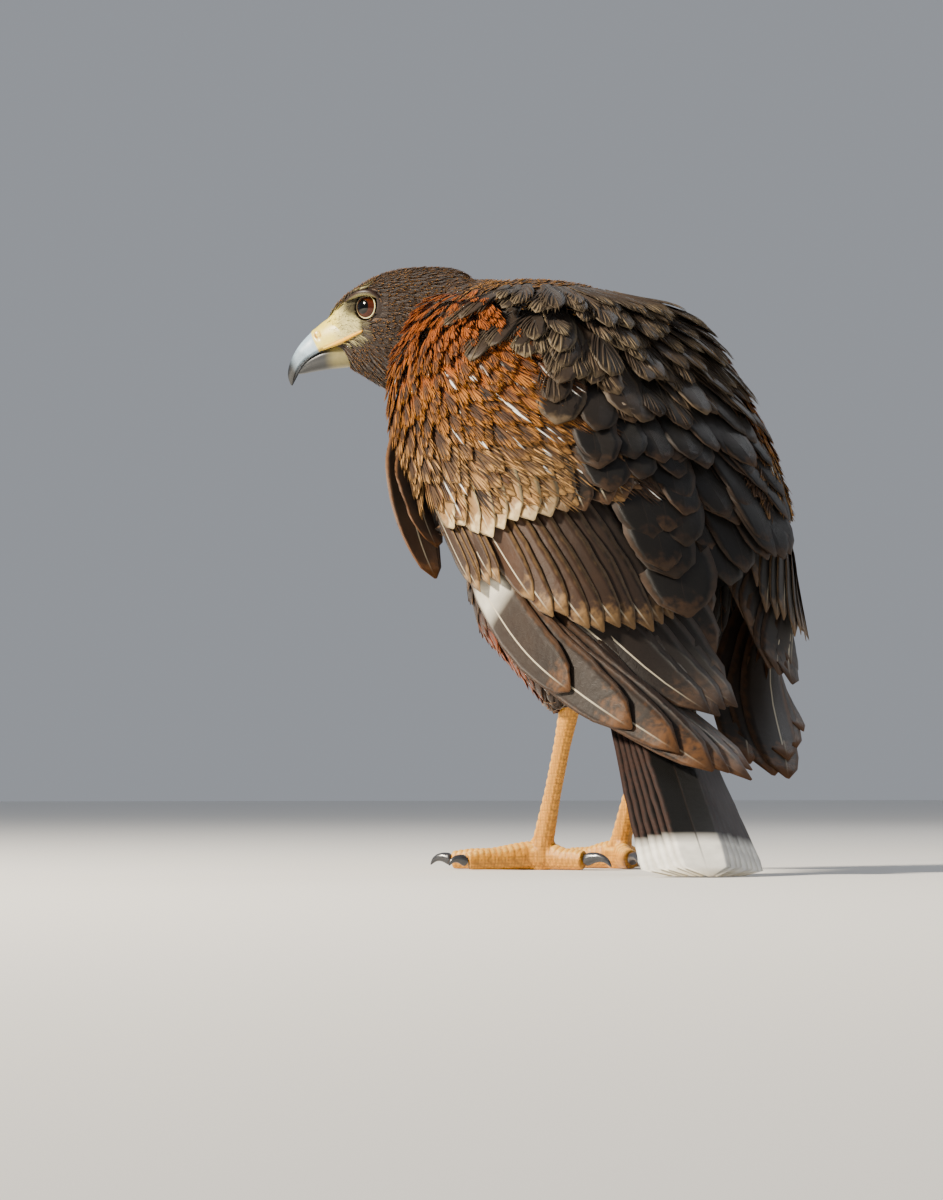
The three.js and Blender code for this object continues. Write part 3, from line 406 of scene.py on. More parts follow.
def feather_material(name, barb_mm, shaft_mm, shaft_colour, roughness, sheen):
    """Feather vanes of keratin. The barbs run out from the shaft at a slant and catch the light in
    fine lines, drawn about twice as coarse as real ones so that they show."""
    material, tree, shader = new_material(name, **{
        "Roughness": roughness, "IOR": 1.54, "Specular IOR Level": 0.22, "Sheen Weight": sheen,
        "Sheen Roughness": 0.5})
    plumage = add_node(tree, "Attribute", attribute_name="plumage")
    fringe = add_node(tree, "Attribute", attribute_name="fringe")
    lengths = add_node(tree, "Attribute", attribute_name="vane_mm").outputs["Vector"]
    shares = add_node(tree, "Attribute", attribute_name="vane_share").outputs["Vector"]
    across, along, chance = add_node(tree, "SeparateXYZ", {0: lengths}).outputs
    edge, tip, streak = add_node(tree, "SeparateXYZ", {0: shares}).outputs
    out = add_node(tree, "Math", {0: across}, operation="ABSOLUTE")

    # Barbs, at 45 degrees or so to the shaft, with a slow waver
    waver = add_node(tree, "TexNoise", {"Vector": lengths, "Scale": 0.25, "Detail": 2.0})
    slant = add_node(tree, "Math", {0: out, 1: -1.3, 2: along}, operation="MULTIPLY_ADD")
    slant = add_node(tree, "Math", {0: waver, 1: 2.5, 2: slant}, operation="MULTIPLY_ADD")
    turns = add_node(tree, "Math", {0: slant, 1: 2 * math.pi / barb_mm}, operation="MULTIPLY")
    barbs = add_node(tree, "Math", {0: turns}, operation="SINE")

    # A broad lengthwise variation, so that no vane is one flat colour
    cloud = add_node(tree, "TexNoise", {"Vector": lengths, "Scale": 0.11, "Detail": 3.0})
    tone = add_node(tree, "Math", {0: cloud, 1: 0.7, 2: 0.62}, operation="MULTIPLY_ADD")
    tone = add_node(tree, "Math", {0: barbs, 1: 0.1, 2: tone}, operation="MULTIPLY_ADD")
    tone = add_node(tree, "Math", {0: chance, 1: 0.3, 2: tone}, operation="MULTIPLY_ADD")
    grey = add_node(tree, "CombineColor", {0: tone, 1: tone, 2: tone})
    base = add_node(tree, "Mix", {0: 1.0, 6: plumage.outputs["Color"], 7: grey},
                    data_type="RGBA", blend_type="MULTIPLY")

    # A dark drop along the shaft
    inner = add_node(tree, "MapRange", {0: edge, 1: 0.62, 2: 0.22}, interpolation_type="SMOOTHSTEP")
    rise = add_node(tree, "MapRange", {0: tip, 1: 0.15, 2: 0.6}, interpolation_type="SMOOTHSTEP")
    fall = add_node(tree, "MapRange", {0: tip, 1: 0.97, 2: 0.8}, interpolation_type="SMOOTHSTEP")
    drop = add_node(tree, "Math", {0: inner, 1: rise}, operation="MULTIPLY")
    drop = add_node(tree, "Math", {0: drop, 1: fall}, operation="MULTIPLY")
    drop = add_node(tree, "Math", {0: drop, 1: streak}, operation="MULTIPLY", use_clamp=True)
    base = add_node(tree, "Mix", {0: drop, 6: base, 7: [*tint("drop"), 1]}, data_type="RGBA")

    # The worn, paler fringe round the edge and tip
    ragged = add_node(tree, "Math", {0: waver, 1: 0.24, 2: -0.12}, operation="MULTIPLY_ADD")
    rim = add_node(tree, "Math", {0: edge, 1: ragged}, operation="ADD")
    rim = add_node(tree, "MapRange", {0: rim, 1: 0.76, 2: 0.97}, interpolation_type="SMOOTHSTEP")
    end = add_node(tree, "Math", {0: tip, 1: ragged}, operation="ADD")
    end = add_node(tree, "MapRange", {0: end, 1: 0.86, 2: 0.98}, interpolation_type="SMOOTHSTEP")
    rim = add_node(tree, "Math", {0: rim, 1: end}, operation="MAXIMUM")
    rim = add_node(tree, "Math", {0: rim, 1: fringe.outputs["Alpha"]}, operation="MULTIPLY",
                   use_clamp=True)
    base = add_node(tree, "Mix", {0: rim, 6: base, 7: fringe.outputs["Color"]}, data_type="RGBA")

    # The shaft, thinner towards the tip
    shaft = add_node(tree, "MapRange", {0: out, 1: shaft_mm, 2: shaft_mm * 0.4},
                     interpolation_type="SMOOTHSTEP")
    fade = add_node(tree, "MapRange", {0: tip, 1: 1.0, 2: 0.8}, interpolation_type="SMOOTHSTEP")
    shaft = add_node(tree, "Math", {0: shaft, 1: fade}, operation="MULTIPLY")
    shown = add_node(tree, "Math", {0: shaft, 1: 0.8}, operation="MULTIPLY")
    base = add_node(tree, "Mix", {0: shown, 6: base, 7: [*tint(shaft_colour), 1]}, data_type="RGBA")
    relief = add_node(tree, "Math", {0: barbs, 1: 0.5, 2: shaft}, operation="MULTIPLY_ADD")
    bump = add_node(tree, "Bump", {"Height": relief, "Strength": 0.35, "Distance": 0.25 * MM})
    return surfaced(material, tree, shader, base, bump)


def grained_material(name, grain_mm, light, dark, bump_mm, **settings):
    """A surface whose colours are kept on the piece as "plumage", with a fine grain over them."""
    material, tree, shader = new_material(name, **settings)
    paint = add_node(tree, "Attribute", attribute_name="plumage")
    place_on = add_node(tree, "TexCoord")
    grain = add_node(tree, "TexNoise", {"Vector": place_on.outputs["Object"],
                                        "Scale": 1 / (grain_mm * MM), "Detail": 3.0})
    tone = add_node(tree, "MapRange", {0: grain, 1: 0.25, 2: 0.75, 3: dark, 4: light})
    grey = add_node(tree, "CombineColor", {0: tone, 1: tone, 2: tone})
    base = add_node(tree, "Mix", {0: 1.0, 6: paint.outputs["Color"], 7: grey},
                    data_type="RGBA", blend_type="MULTIPLY")
    bump = add_node(tree, "Bump", {"Height": grain, "Strength": 0.3, "Distance": bump_mm * MM})
    return surfaced(material, tree, shader, base, bump)


def barb_material(name):
    """Loose feather barbs: soft, dull keratin threads with a faint sheen along their edges."""
    return grained_material(name, 1.4, 1.2, 0.75, 0.1, **{
        "Roughness": 0.72, "IOR": 1.54, "Specular IOR Level": 0.22, "Sheen Weight": 0.05,
        "Sheen Roughness": 0.4})


def skin_material():
    """Down over skin under the feathers: fully dull, so that gaps between feathers stay soft."""
    return grained_material("down_over_skin", 1.1, 0.8, 0.35, 0.6, **{
        "Roughness": 0.95, "Sheen Weight": 0.1})


def bare_skin_material(name):
    """Waxy bare skin of the face: half gloss, a little light under its surface, fine wrinkles."""
    return grained_material(name, 0.6, 1.08, 0.86, 0.12, **{
        "Roughness": 0.45, "IOR": 1.45, "Subsurface Weight": 0.08, "Subsurface Scale": 0.002})


# Feathers

def profile(t, root, belly, tip_from, point):
    """Width of a vane along its length as a share of its greatest width."""
    body = lerp(root, 1.0, smooth(t / belly))
    tip = np.clip((t - tip_from) / (1 - tip_from), 0, 1)
    return body * np.sqrt(np.maximum(1 - tip ** point, 0.004))


def vane_faces(rows, columns):
    """Triangles of one vane: an upper and a lower surface that share their two long edges."""
    top = np.arange(rows * columns).reshape(rows, columns)
    under = top.copy()
    inner = columns - 2
    under[:, 1:-1] = rows * columns + np.arange(rows * inner).reshape(rows, inner)
    faces = []
    for r in range(rows - 1):
        for c in range(columns - 1):
            a, b, d, e = top[r, c], top[r, c + 1], top[r + 1, c + 1], top[r + 1, c]
            faces += [(a, b, d), (a, d, e)]
            a, b, d, e = under[r, c], under[r, c + 1], under[r + 1, c + 1], under[r + 1, c]
            faces += [(a, d, b), (a, e, d)]
    for r, turn in ((0, 1), (rows - 1, -1)):
        for c in range(columns - 1):
            ring = [top[r, c], under[r, c], under[r, c + 1], top[r, c + 1]][::turn]
            ring = [v for k, v in enumerate(ring) if v not in ring[:k]]
            faces += [(ring[0], ring[k], ring[k + 1]) for k in range(1, len(ring) - 1)]
    return np.array(faces)


def make_vanes(name, at, normal, width, style, colour, fringe, chance, root_uv, material, slot):
    """A joined mesh of closed vanes. at and normal hold each vane's line from root to tip."""
    count, rows = at.shape[:2]
    columns = style["columns"]
    along = np.gradient(at, axis=1)
    ahead = unit(along)
    normal = unit(normal - ahead * np.sum(normal * ahead, -1, keepdims=True))
    across = np.cross(ahead, normal)
    lean = np.broadcast_to(np.radians(style.get("lean", 0.0)), (count,))[:, None, None]
    normal, across = (normal * np.cos(lean) - across * np.sin(lean),
                      across * np.cos(lean) + normal * np.sin(lean))
    t = np.linspace(0, 1, rows) ** style.get("even", 0.85)
    u = np.linspace(-1, 1, columns)
    shaft = np.broadcast_to(style.get("shaft", 0.5), (count,))[:, None, None]
    w = width[:, None] * profile(t, style["root"], style["belly"], style["round_from"], style["point"])
    rng = np.random.default_rng(style["seed"])
    w_left = w * (1 + style["fray"] * rng.standard_normal((count, rows)))
    w_right = w * (1 + style["fray"] * rng.standard_normal((count, rows)))
    notch = style.get("notch", 0.0)
    w_left = w_left * (1 - notch * (rng.random((count, rows)) < 0.12))
    w_right = w_right * (1 - notch * (rng.random((count, rows)) < 0.12))
    reach = np.where(u < 0, w_left[..., None] * shaft, w_right[..., None] * (1 - shaft)) * u
    bow = -style["camber"] * np.abs(reach) * (np.abs(u) ** 1.2)
    ripple = style["ripple"] * rng.standard_normal((count, rows, columns)) * np.abs(u)
    height = bow + ripple
    half = 0.5 * style["thickness"] * (1 - 0.75 * np.abs(u))
    half = half * lerp(1.0, 0.35, t)[:, None]
    line = at[:, :, None] + across[:, :, None] * reach[..., None]
    top = line + normal[:, :, None] * (height + half)[..., None]
    under = line + normal[:, :, None] * (height - half)[..., None]
    inner = slice(1, columns - 1)
    points = np.concatenate([top.reshape(count, -1, 3), under[:, :, inner].reshape(count, -1, 3)], 1)
    per = points.shape[1]
    one = vane_faces(rows, columns)
    faces = (one[None] + (np.arange(count) * per)[:, None, None]).reshape(-1, 3)
    mesh = to_mesh(name, points.reshape(-1, 3), faces)

    def spread(values):
        grid = np.broadcast_to(values, (count, rows, columns))
        return np.concatenate([grid.reshape(count, -1), grid[:, :, inner].reshape(count, -1)], 1)

    steps = np.linalg.norm(np.diff(at, axis=1), axis=-1)
    length = np.concatenate([np.zeros((count, 1)), np.cumsum(steps, 1)], 1)
    alongs = spread(t[None, :, None])
    store(mesh, "vane_mm", np.stack([spread(reach), spread(length[..., None]),
                                     spread(chance[:, None, None])], -1).reshape(-1, 3))
    streak = np.broadcast_to(style.get("streak", 0.0), (count,))
    store(mesh, "vane_share", np.stack([spread(np.abs(u)), alongs,
                                        spread(streak[:, None, None])], -1).reshape(-1, 3))
    for key, values in (("plumage", colour), ("fringe", fringe)):
        if values.ndim == 2:
            values = np.broadcast_to(values[:, None, None], (count, rows, columns, values.shape[-1]))
        if values.shape[-1] == 3:
            values = with_alpha(values)
        below = values[:, :, inner]
        full = np.concatenate([values.reshape(count, -1, 4), below.reshape(count, -1, 4)], 1)
        store(mesh, key, full.reshape(-1, 4))
    bake_map(mesh, root_uv, spread(0.5 + 0.5 * u[None, None]), alongs, faces)
    return place(mesh, name, material, slot)


LOCK_RINGS = 4


def lock_faces():
    """Triangles of one lock: a three-sided taper, closed at its root, with a pointed tip."""
    faces = [(0, 1, 2)]
    for r in range(LOCK_RINGS - 1):
        left, right, top = 3 * r, 3 * r + 1, 3 * r + 2
        for a, b in ((left, top), (top, right), (right, left)):
            faces += [(a, b, b + 3), (a, b + 3, a + 3)]
    last, tip = 3 * (LOCK_RINGS - 1), 3 * LOCK_RINGS
    return np.array(faces + [(last, last + 2, tip), (last + 2, last + 1, tip), (last + 1, last, tip)])


def make_locks(name, at, normal, width, style, paint, root_uv, material, slot):
    """Loose barbs of feathers, as thin tapered locks that fan out from each shaft to its rim."""
    count, rows = at.shape[:2]
    locks = style["locks"]
    rng = np.random.default_rng(style["seed"])
    side = np.linspace(-1, 1, locks) + rng.normal(0, 0.05, (count, locks))
    turn = side * math.radians(84)
    rim_x = 0.5 * width[:, None] * np.sin(turn) * rng.uniform(0.85, 1.1, (count, locks))
    rim_y = style["reach"] * (1 - style["round"] * (1 - np.cos(turn)))
    rim_y = rim_y + rng.normal(0, style["fray"], (count, locks))
    root_y = 0.1 + style["spring"] * (1 - np.abs(side)) * rng.uniform(0.7, 1.2, (count, locks))
    t = np.linspace(0, 1, LOCK_RINGS + 1)
    x = (1.5 * t * (1 - t) + t ** 2) * rim_x[..., None]
    y = (1 - t) * root_y[..., None] + t * rim_y[..., None]
    row = np.maximum(y, 0) * (rows - 1)
    low = np.clip(row.astype(int), 0, rows - 2)
    part = (row - low)[..., None]
    one = np.arange(count)[:, None, None]
    here = at[one, low] * (1 - part) + at[one, low + 1] * part
    ahead = unit(at[one, low + 1] - at[one, low])
    up = unit(normal[one, low] - ahead * np.sum(normal[one, low] * ahead, -1, keepdims=True))
    across = np.cross(ahead, up)
    above = style["above"] * (0.3 + 0.7 * t) - style["camber"] * np.abs(x)
    above = above + rng.normal(0, 0.12, (count, locks, 1))
    spot = here + across * x[..., None] + up * above[..., None]
    run = unit(np.gradient(spot, axis=2))
    out = unit(np.cross(run, up))
    taper = np.array([0.5, 1.0, 0.95, 0.6, 0.0])
    half = 0.5 * millimetres("lock_width") * rng.uniform(0.7, 1.3, (count, locks, 1)) * taper
    half = half[..., None] * np.clip(width / 8, 0.8, 1.5)[:, None, None, None]
    rings = np.stack([spot - out * half, spot + out * half, spot + up * half * 0.45], 3)[:, :, :LOCK_RINGS]
    points = np.concatenate([rings.reshape(count, locks, -1, 3), spot[:, :, -1:]], 2)
    per = points.shape[2]
    faces = lock_faces()[None] + (np.arange(count * locks) * per)[:, None, None]
    mesh = to_mesh(name, points.reshape(-1, 3), faces.reshape(-1, 3))
    share = np.abs(x) / (0.5 * width[:, None, None])
    colour = paint(share, np.clip(y, 0, 1.2)) * rng.uniform(0.78, 1.22, (count, locks, 1, 1))
    colour = np.concatenate([np.repeat(colour[:, :, :LOCK_RINGS], 3, axis=2), colour[:, :, -1:]], 2)
    store(mesh, "plumage", with_alpha(colour.reshape(-1, 3)))
    u = np.broadcast_to(0.5 + 0.5 * side[..., None], (count, locks, per)).reshape(count, -1)
    v = np.concatenate([np.repeat(t[:LOCK_RINGS], 3), [1.0]])
    v = np.broadcast_to(v, (count, locks, per)).reshape(count, -1)
    bake_map(mesh, root_uv, u, v, faces.reshape(-1, 3))
    return place(mesh, name, material, slot)


# Side of a vane's patch on the page
PATCH = 0.003


def bake_map(mesh, root_uv, across, along, faces):
    """Each vane as a small patch at its root's place on the skin's own unwrap."""
    u = root_uv[:, 0, None] + PATCH * (across - 0.5)
    v = root_uv[:, 1, None] + PATCH * (along - 0.5)
    corners = np.stack([u.ravel(), v.ravel()], -1)[faces.ravel()]
    layer = mesh.uv_layers.new(name="OFBake")
    layer.data.foreach_set("uv", np.clip(corners, 0.001, 0.999).astype(np.float32).ravel())


def unwrap_body(points, part=0):
    """The skin opened along a line: round the bird across the page and up the page. Each part of
    the bird has its own strip."""
    angle, height = angle_on_outline(points)
    low, high = STRIPS[part]
    share = np.clip((height + 5) / 320, 0, 1)
    return np.stack([0.02 + 0.96 * (angle + 180) / 360, lerp(low, high, share)], -1)


def unwrap_head(points):
    forward, left, up = head_places(points)
    low, high = STRIPS[4]
    turn = np.degrees(np.arctan2(left, up + 10))
    share = np.clip((forward + 70) / 140, 0, 1)
    return np.stack([0.02 + 0.96 * (turn + 180) / 360, lerp(low, high, share)], -1)


# Height on the page of each part: body, wings, mantle, tail, head
STRIPS = {0: (0.02, 0.30), 1: (0.32, 0.52), 2: (0.54, 0.66), 3: (0.68, 0.78), 4: (0.80, 0.98)}


# Markings, the same for the skin and for the feathers over it

def brow_line(forward):
    """Height of the line under which the face is bare."""
    return 3.4 - 0.72 * (forward - 36)


def face_markings(forward, up):
    """Colour of the bare face with painted shade before the eye, and how far it takes the feathers' place.
    """
    above_mouth = up + 17 + 0.2 * (forward - 30)
    amount = smooth((forward - 23) / 4) * smooth((brow_line(forward) - up) / 3 + 0.5)
    amount = amount * smooth(above_mouth / 3)
    colour = mix(tint("lore"), tint("cere"), smooth((forward - 35) / 9))
    # Painted shade: the face darkens to the socket colour in the hollow before the eye, under the brow
    hollow = np.hypot((forward - 28) * 0.75, up - 1.5)
    colour = mix(colour, tint("socket"), smooth((8.5 - hollow) / 5))
    return colour, amount


def body_markings(points):
    """Colour and fringe of the small body feathers at each place."""
    forward, _, up = head_places(points)
    angle, height = angle_on_outline(points)
    colour = np.broadcast_to(tint("breast"), points.shape).copy()
    edge = mix(tint("back_edge"), tint("head_edge"), np.full(len(points), 0.3))
    strength = np.full(len(points), 0.35)
    front = smooth((np.abs(angle) - 60) / 40)
    # The back takes the near-black back colour, partly painted shade
    colour = mix(colour, tint("back"), 1 - front)
    neck = smooth((height - 232) / 30)
    colour = mix(colour, tint("head"), neck)
    head = smooth((forward - HEAD_FEATHERS_FROM) / 10)
    colour = mix(colour, tint("head"), head)
    edge = mix(edge, tint("head_edge"), np.maximum(head, neck))
    strength = lerp(strength, 1.0, np.maximum(head, neck))
    throat = smooth((-22 - up) / 12) * head
    colour = mix(colour, tint("throat"), throat)
    face, amount = face_markings(forward, up)
    colour = mix(colour, face, amount)
    edge = mix(edge, face, amount)
    thigh = smooth((142 - height) / 16) * smooth((20 - points[..., 1]) / 20)
    colour = mix(colour, tint("thigh"), thigh)
    edge = mix(edge, tint("rufous_pale"), thigh)
    vent = smooth((118 - height) / 18) * smooth((points[..., 1] - 30) / 16)
    colour = mix(colour, tint("white"), vent)
    edge = mix(edge, tint("white"), vent)
    return colour, np.concatenate([edge, strength[:, None]], -1)


def wing_markings(angle, height):
    """Colour, fringe and drop streaks of the small coverts of a wing, with painted shade beside the back.
    """
    side = np.abs(angle)
    colour = mix(tint("covert_brown"), tint("rufous"), smooth((height - 216) / 26))
    # Painted shade: beside the back the coverts darken and their fringes dim
    shade = smooth((58 - side) / 20) * smooth((266 - height) / 22)
    colour = mix(colour, tint("covert_shade"), shade)
    edge = mix(tint("rufous"), tint("rufous_pale"), smooth((268 - height) / 24))
    edge = mix(edge, tint("tan"), smooth((220 - height) / 22) * 0.8)
    edge = mix(edge, tint("back_edge"), shade)
    strength = lerp(0.35, 0.9, smooth((262 - height) / 28)) * lerp(1.0, 0.5, shade)
    streak = smooth((266 - height) / 10)
    return colour, np.concatenate([edge, strength[..., None]], -1), streak


def mantle_markings(height):
    """Colour and fringe of the back: blackish below, partly as painted shade, and paler and greyer
    towards the neck with stronger fringes there, as painted sunlight.
    """
    # Painted light: the upper back is paler, greyer and more strongly fringed as if sunlit, and the lower
    # back blackish, partly as painted shade
    high = smooth((height - 242) / 40)
    colour = mix(tint("back"), tint("sunlit_mantle_brown"), high)
    edge = mix(tint("back_edge"), tint("sunlit_grey_edge"), high)
    return colour, np.concatenate([edge, lerp(0.35, 0.7, high)[..., None]], -1)


# Skin

# The arm under the coverts: angle, lower and upper height
ARM_EDGES = [(34, 198, 258), (48, 188, 272), (62, 180, 279), (76, 174, 283), (90, 168, 284),
             (104, 160, 282), (116, 166, 277), (130, 190, 268), (146, 216, 252)]
ARM_DEPTH = 12.0
ARM_LIFT = -5.0


def shell_over(angles, lows, highs, lift, depth):
    """A closed shell over a part of the folded bird's outline, from a grid bent to it."""
    bm = bmesh.new()
    bmesh.ops.create_grid(bm, x_segments=len(angles) - 1, y_segments=10, size=1)
    column = (np.array([v.co.x for v in bm.verts]) + 1) / 2 * (len(angles) - 1)
    share = (np.array([v.co.y for v in bm.verts]) + 1) / 2
    order = np.arange(len(angles))
    angle, low, high = (np.interp(column, order, values) for values in (angles, lows, highs))
    places, _ = on_outline(angle, lerp(low, high, share), np.full(len(share), lift))
    higher, _ = on_outline(angle, lerp(low, high, share), np.full(len(share), lift + 1.0))
    for v, place_mm in zip(bm.verts, places):
        v.co = Vector(place_mm) * MM
    bm.normal_update()
    if sum(v.normal.dot(Vector(out)) for v, out in zip(bm.verts, higher - places)) < 0:
        bmesh.ops.reverse_faces(bm, faces=bm.faces[:])
    bmesh.ops.solidify(bm, geom=bm.faces[:], thickness=depth * MM)
    bmesh.ops.recalc_face_normals(bm, faces=bm.faces)
    return finished(bm, "shell")


def build_skin():
    """One even skin over the body's solids and the arms, sunk a little under the feathers."""
    arms = np.array(ARM_EDGES, float)
    shells = [shell_over(side * arms[:, 0], arms[:, 1], arms[:, 2] + 6, ARM_LIFT, ARM_DEPTH)
              for side in (1, -1)]
    spine = np.linspace(-36, 36, 9)
    shells.append(shell_over(spine, np.full(9, 150.0), np.full(9, 293.0), ARM_LIFT - 1.5, 16.0))
    mesh = remeshed(merged_copy(["torso", "neck", "head", "cere", "thigh_left", "thigh_right"], shells),
                    millimetres("skin_voxel"), 10)
    points, normals = points_of(mesh), normals_of(mesh)
    forward = head_places(points)[0]
    depth = lerp(millimetres("coat_depth"), 0.7, smooth((forward + 10) / 30))
    points = points - normals * depth[:, None]
    set_points(mesh, points)
    colour, _ = body_markings(points)
    forward, _, up = head_places(points)
    colour = colour * lerp(1.0, 1.7, face_markings(forward, up)[1])[:, None]
    angle, height = angle_on_outline(points)
    wing, _, _ = wing_markings(angle, height)
    side = np.abs(angle)
    on_wing = smooth((side - 36) / 6) * smooth((height - 190) / 8) * smooth((135 - side) / 8)
    on_wing = on_wing * (1 - smooth((forward + 40) / 8))
    colour = mix(colour, wing, on_wing)
    store(mesh, "plumage", with_alpha(colour))
    return place(mesh, "skin", skin_material(), "body_feathers",
                 "torso", "neck", "head", "thigh_left", "thigh_right", "mantle")


# Small feathers over the skin

# Place on the bird, the way the feathers lie there, their length and their width.
LIE = [
    ((84, -158, 290), (-0.7, 0.7, 0.3), 3.0, 1.1),
    ((78, -140, 302), (-0.74, 0.67, 0.35), 4.4, 1.4),
    ((58, -134, 309), (-0.74, 0.67, 0.0), 6.2, 1.9),
    ((40, -118, 311), (-0.74, 0.67, -0.1), 8.0, 2.3),
    ((20, -100, 306), (-0.6, 0.75, -0.2), 11.0, 3.2),
    ((62, -118, 288), (-0.72, 0.66, -0.15), 6.0, 1.7),
    ((52, -100, 280), (-0.7, 0.6, -0.45), 9.0, 2.4),
    ((45, -152, 282), (-0.72, 0.66, -0.2), 6.0, 1.7),
    ((20, -130, 275), (-0.6, 0.6, -0.5), 9.5, 2.6),
    ((68, -142, 262), (-0.7, 0.45, -0.6), 7.5, 1.5),
    ((58, -128, 252), (-0.6, 0.35, -0.8), 11.0, 2.2),
    ((48, -118, 242), (-0.45, 0.2, -0.95), 14.0, 2.8),
    ((38, -118, 234), (-0.2, 0.0, -1.0), 14.0, 4.0),
    ((20, -110, 215), (0.0, 0.1, -1.0), 16.0, 9.0),
    ((0, -90, 180), (0.0, 0.25, -1.0), 19.0, 12.0),
    ((0, -60, 130), (0.0, 0.5, -0.85), 20.0, 12.0),
    ((0, 10, 85), (0.0, 0.9, -0.4), 20.0, 11.0),
    ((0, 70, 110), (0.2, 0.9, -0.6), 24.0, 13.0),
    ((60, -30, 150), (0.1, 0.4, -0.9), 20.0, 12.0),
    ((-60, -30, 150), (-0.1, 0.4, -0.9), 20.0, 12.0),
    ((36, -10, 120), (0.0, 0.15, -1.0), 17.0, 8.0),
    ((30, 18, 92), (0.0, 0.2, -1.0), 15.0, 6.0),
    ((-36, -10, 120), (0.0, 0.15, -1.0), 17.0, 8.0),
    ((-30, 6, 92), (0.0, 0.2, -1.0), 15.0, 6.0),
]


def lie_at(points):
    """Way, length and width of the small feathers at each place, weighed by nearness."""
    places = np.array([row[0] for row in LIE], float)
    gaps = np.linalg.norm(points[:, None] - places[None], axis=-1)
    weight = 1 / (gaps ** 3 + 30)
    weight /= weight.sum(1, keepdims=True)
    way = unit(weight @ np.array([row[1] for row in LIE], float))
    return way, weight @ np.array([row[2] for row in LIE]), weight @ np.array([row[3] for row in LIE])


# Tries for each place that is kept, and how near its neighbours may stand, as a share of the gap
TRIES = 2.6
CLOSEST = 0.78
# Side of the cells in which neighbours are looked for
CELL = 6.0


def scattered(mesh, keep, spacing, seed):
    """Places spread evenly over a mesh, at a spacing that may change from place to place."""
    mesh.calc_loop_triangles()
    corners = np.empty(len(mesh.loop_triangles) * 3, np.int32)
    mesh.loop_triangles.foreach_get("vertices", corners)
    corners = corners.reshape(-1, 3)
    points = points_of(mesh)
    a, b, c = (points[corners[:, k]] for k in range(3))
    area = 0.5 * np.linalg.norm(np.cross(b - a, c - a), axis=1)
    middle = (a + b + c) / 3
    area = area * keep(middle)
    gap = spacing(middle)
    density = area / gap ** 2
    rng = np.random.default_rng(seed)
    count = int(density.sum() * TRIES)
    pick = rng.choice(len(area), count, p=density / density.sum())
    r1, r2 = np.sqrt(rng.random(count)), rng.random(count)
    spots = (1 - r1)[:, None] * a[pick] + (r1 * (1 - r2))[:, None] * b[pick] + (r1 * r2)[:, None] * c[pick]
    need = gap[pick] * CLOSEST
    grid, kept = {}, []
    for i, (spot, room) in enumerate(zip(spots, need)):
        key = tuple(int(v) for v in np.floor(spot / CELL))
        near = [j for dx in (-1, 0, 1) for dy in (-1, 0, 1) for dz in (-1, 0, 1)
                for j in grid.get((key[0] + dx, key[1] + dy, key[2] + dz), ())]
        if near and np.min(np.sum((spots[near] - spot) ** 2, 1)) < min(room, CELL) ** 2:
            continue
        grid.setdefault(key, []).append(i)
        kept.append(i)
    return spots[kept]


def follow(tree, spots, way, length, rows, rise):
    """Lines that leave each spot and lie along the skin, rising from root to tip."""
    count = len(spots)
    at = np.empty((count, rows, 3))
    normal = np.empty((count, rows, 3))
    share = np.linspace(0, 1, rows)
    for i in range(count):
        here = Vector(spots[i])
        heading = Vector(way[i])
        for k in range(rows):
            found, face_normal, _, _ = tree.find_nearest(here)
            flat = (heading - face_normal * heading.dot(face_normal)).normalized()
            at[i, k] = found + face_normal * lerp(rise[0], rise[1], share[k])
            normal[i, k] = face_normal
            here = found + flat * (length[i] / (rows - 1))
            heading = flat
    return at, normal


def surface_tree(names):
    """The surface of some pieces, for finding the nearest place on them."""
    bm = bmesh.new()
    for name in names:
        bm.from_mesh(bpy.data.objects[name].data)
    bm.transform(Matrix.Scale(1 / MM, 4))
    tree = BVHTree.FromBMesh(bm)
    bm.free()
    return tree


# Each eyeball from the head's centre, its radius, and the radius kept free of feathers
EYE = {"forward": 20.0, "side": 10.6, "up": 0.2, "radius": 8.5, "opening": 7.2}


def on_wing_or_back(points):
    """1 where the wing coverts or the mantle cover the skin."""
    angle, height = angle_on_outline(points)
    forward = head_places(points)[0]
    outside = np.abs(angle) < 126
    low = np.where(np.abs(angle) < 36, 150, 178)
    p = turned(points, -1)
    centre = read_rows(FOLDED_OUTLINE, height)[:, 0]
    edge = outline_place(angle, height)
    reach = np.hypot(edge[:, 0], edge[:, 1] - centre)
    near = np.hypot(p[:, 0], p[:, 1] - centre) > reach - 14
    return (outside & (height > low) & (height < 292) & near & (forward < -38)).astype(float)


def near_eye(points):
    forward, _, up = head_places(points)
    return np.hypot(forward - EYE["forward"], up - EYE["up"]) < EYE["opening"]


def near_bill(points):
    """The bare and bristly parts of the face."""
    forward, _, up = head_places(points)
    lore = (forward > 25) & (up > -15 - 0.2 * (forward - 30)) & (up < brow_line(forward))
    chin = (forward > 37.5) & (up <= -16)
    return lore | chin | (forward > 47)


BODY_STYLE = {"columns": 5, "root": 0.45, "belly": 0.45, "round_from": 0.45, "point": 2.4,
              "camber": 0.16, "ripple": 0.05, "fray": 0.05, "thickness": 0.5, "seed": 11}


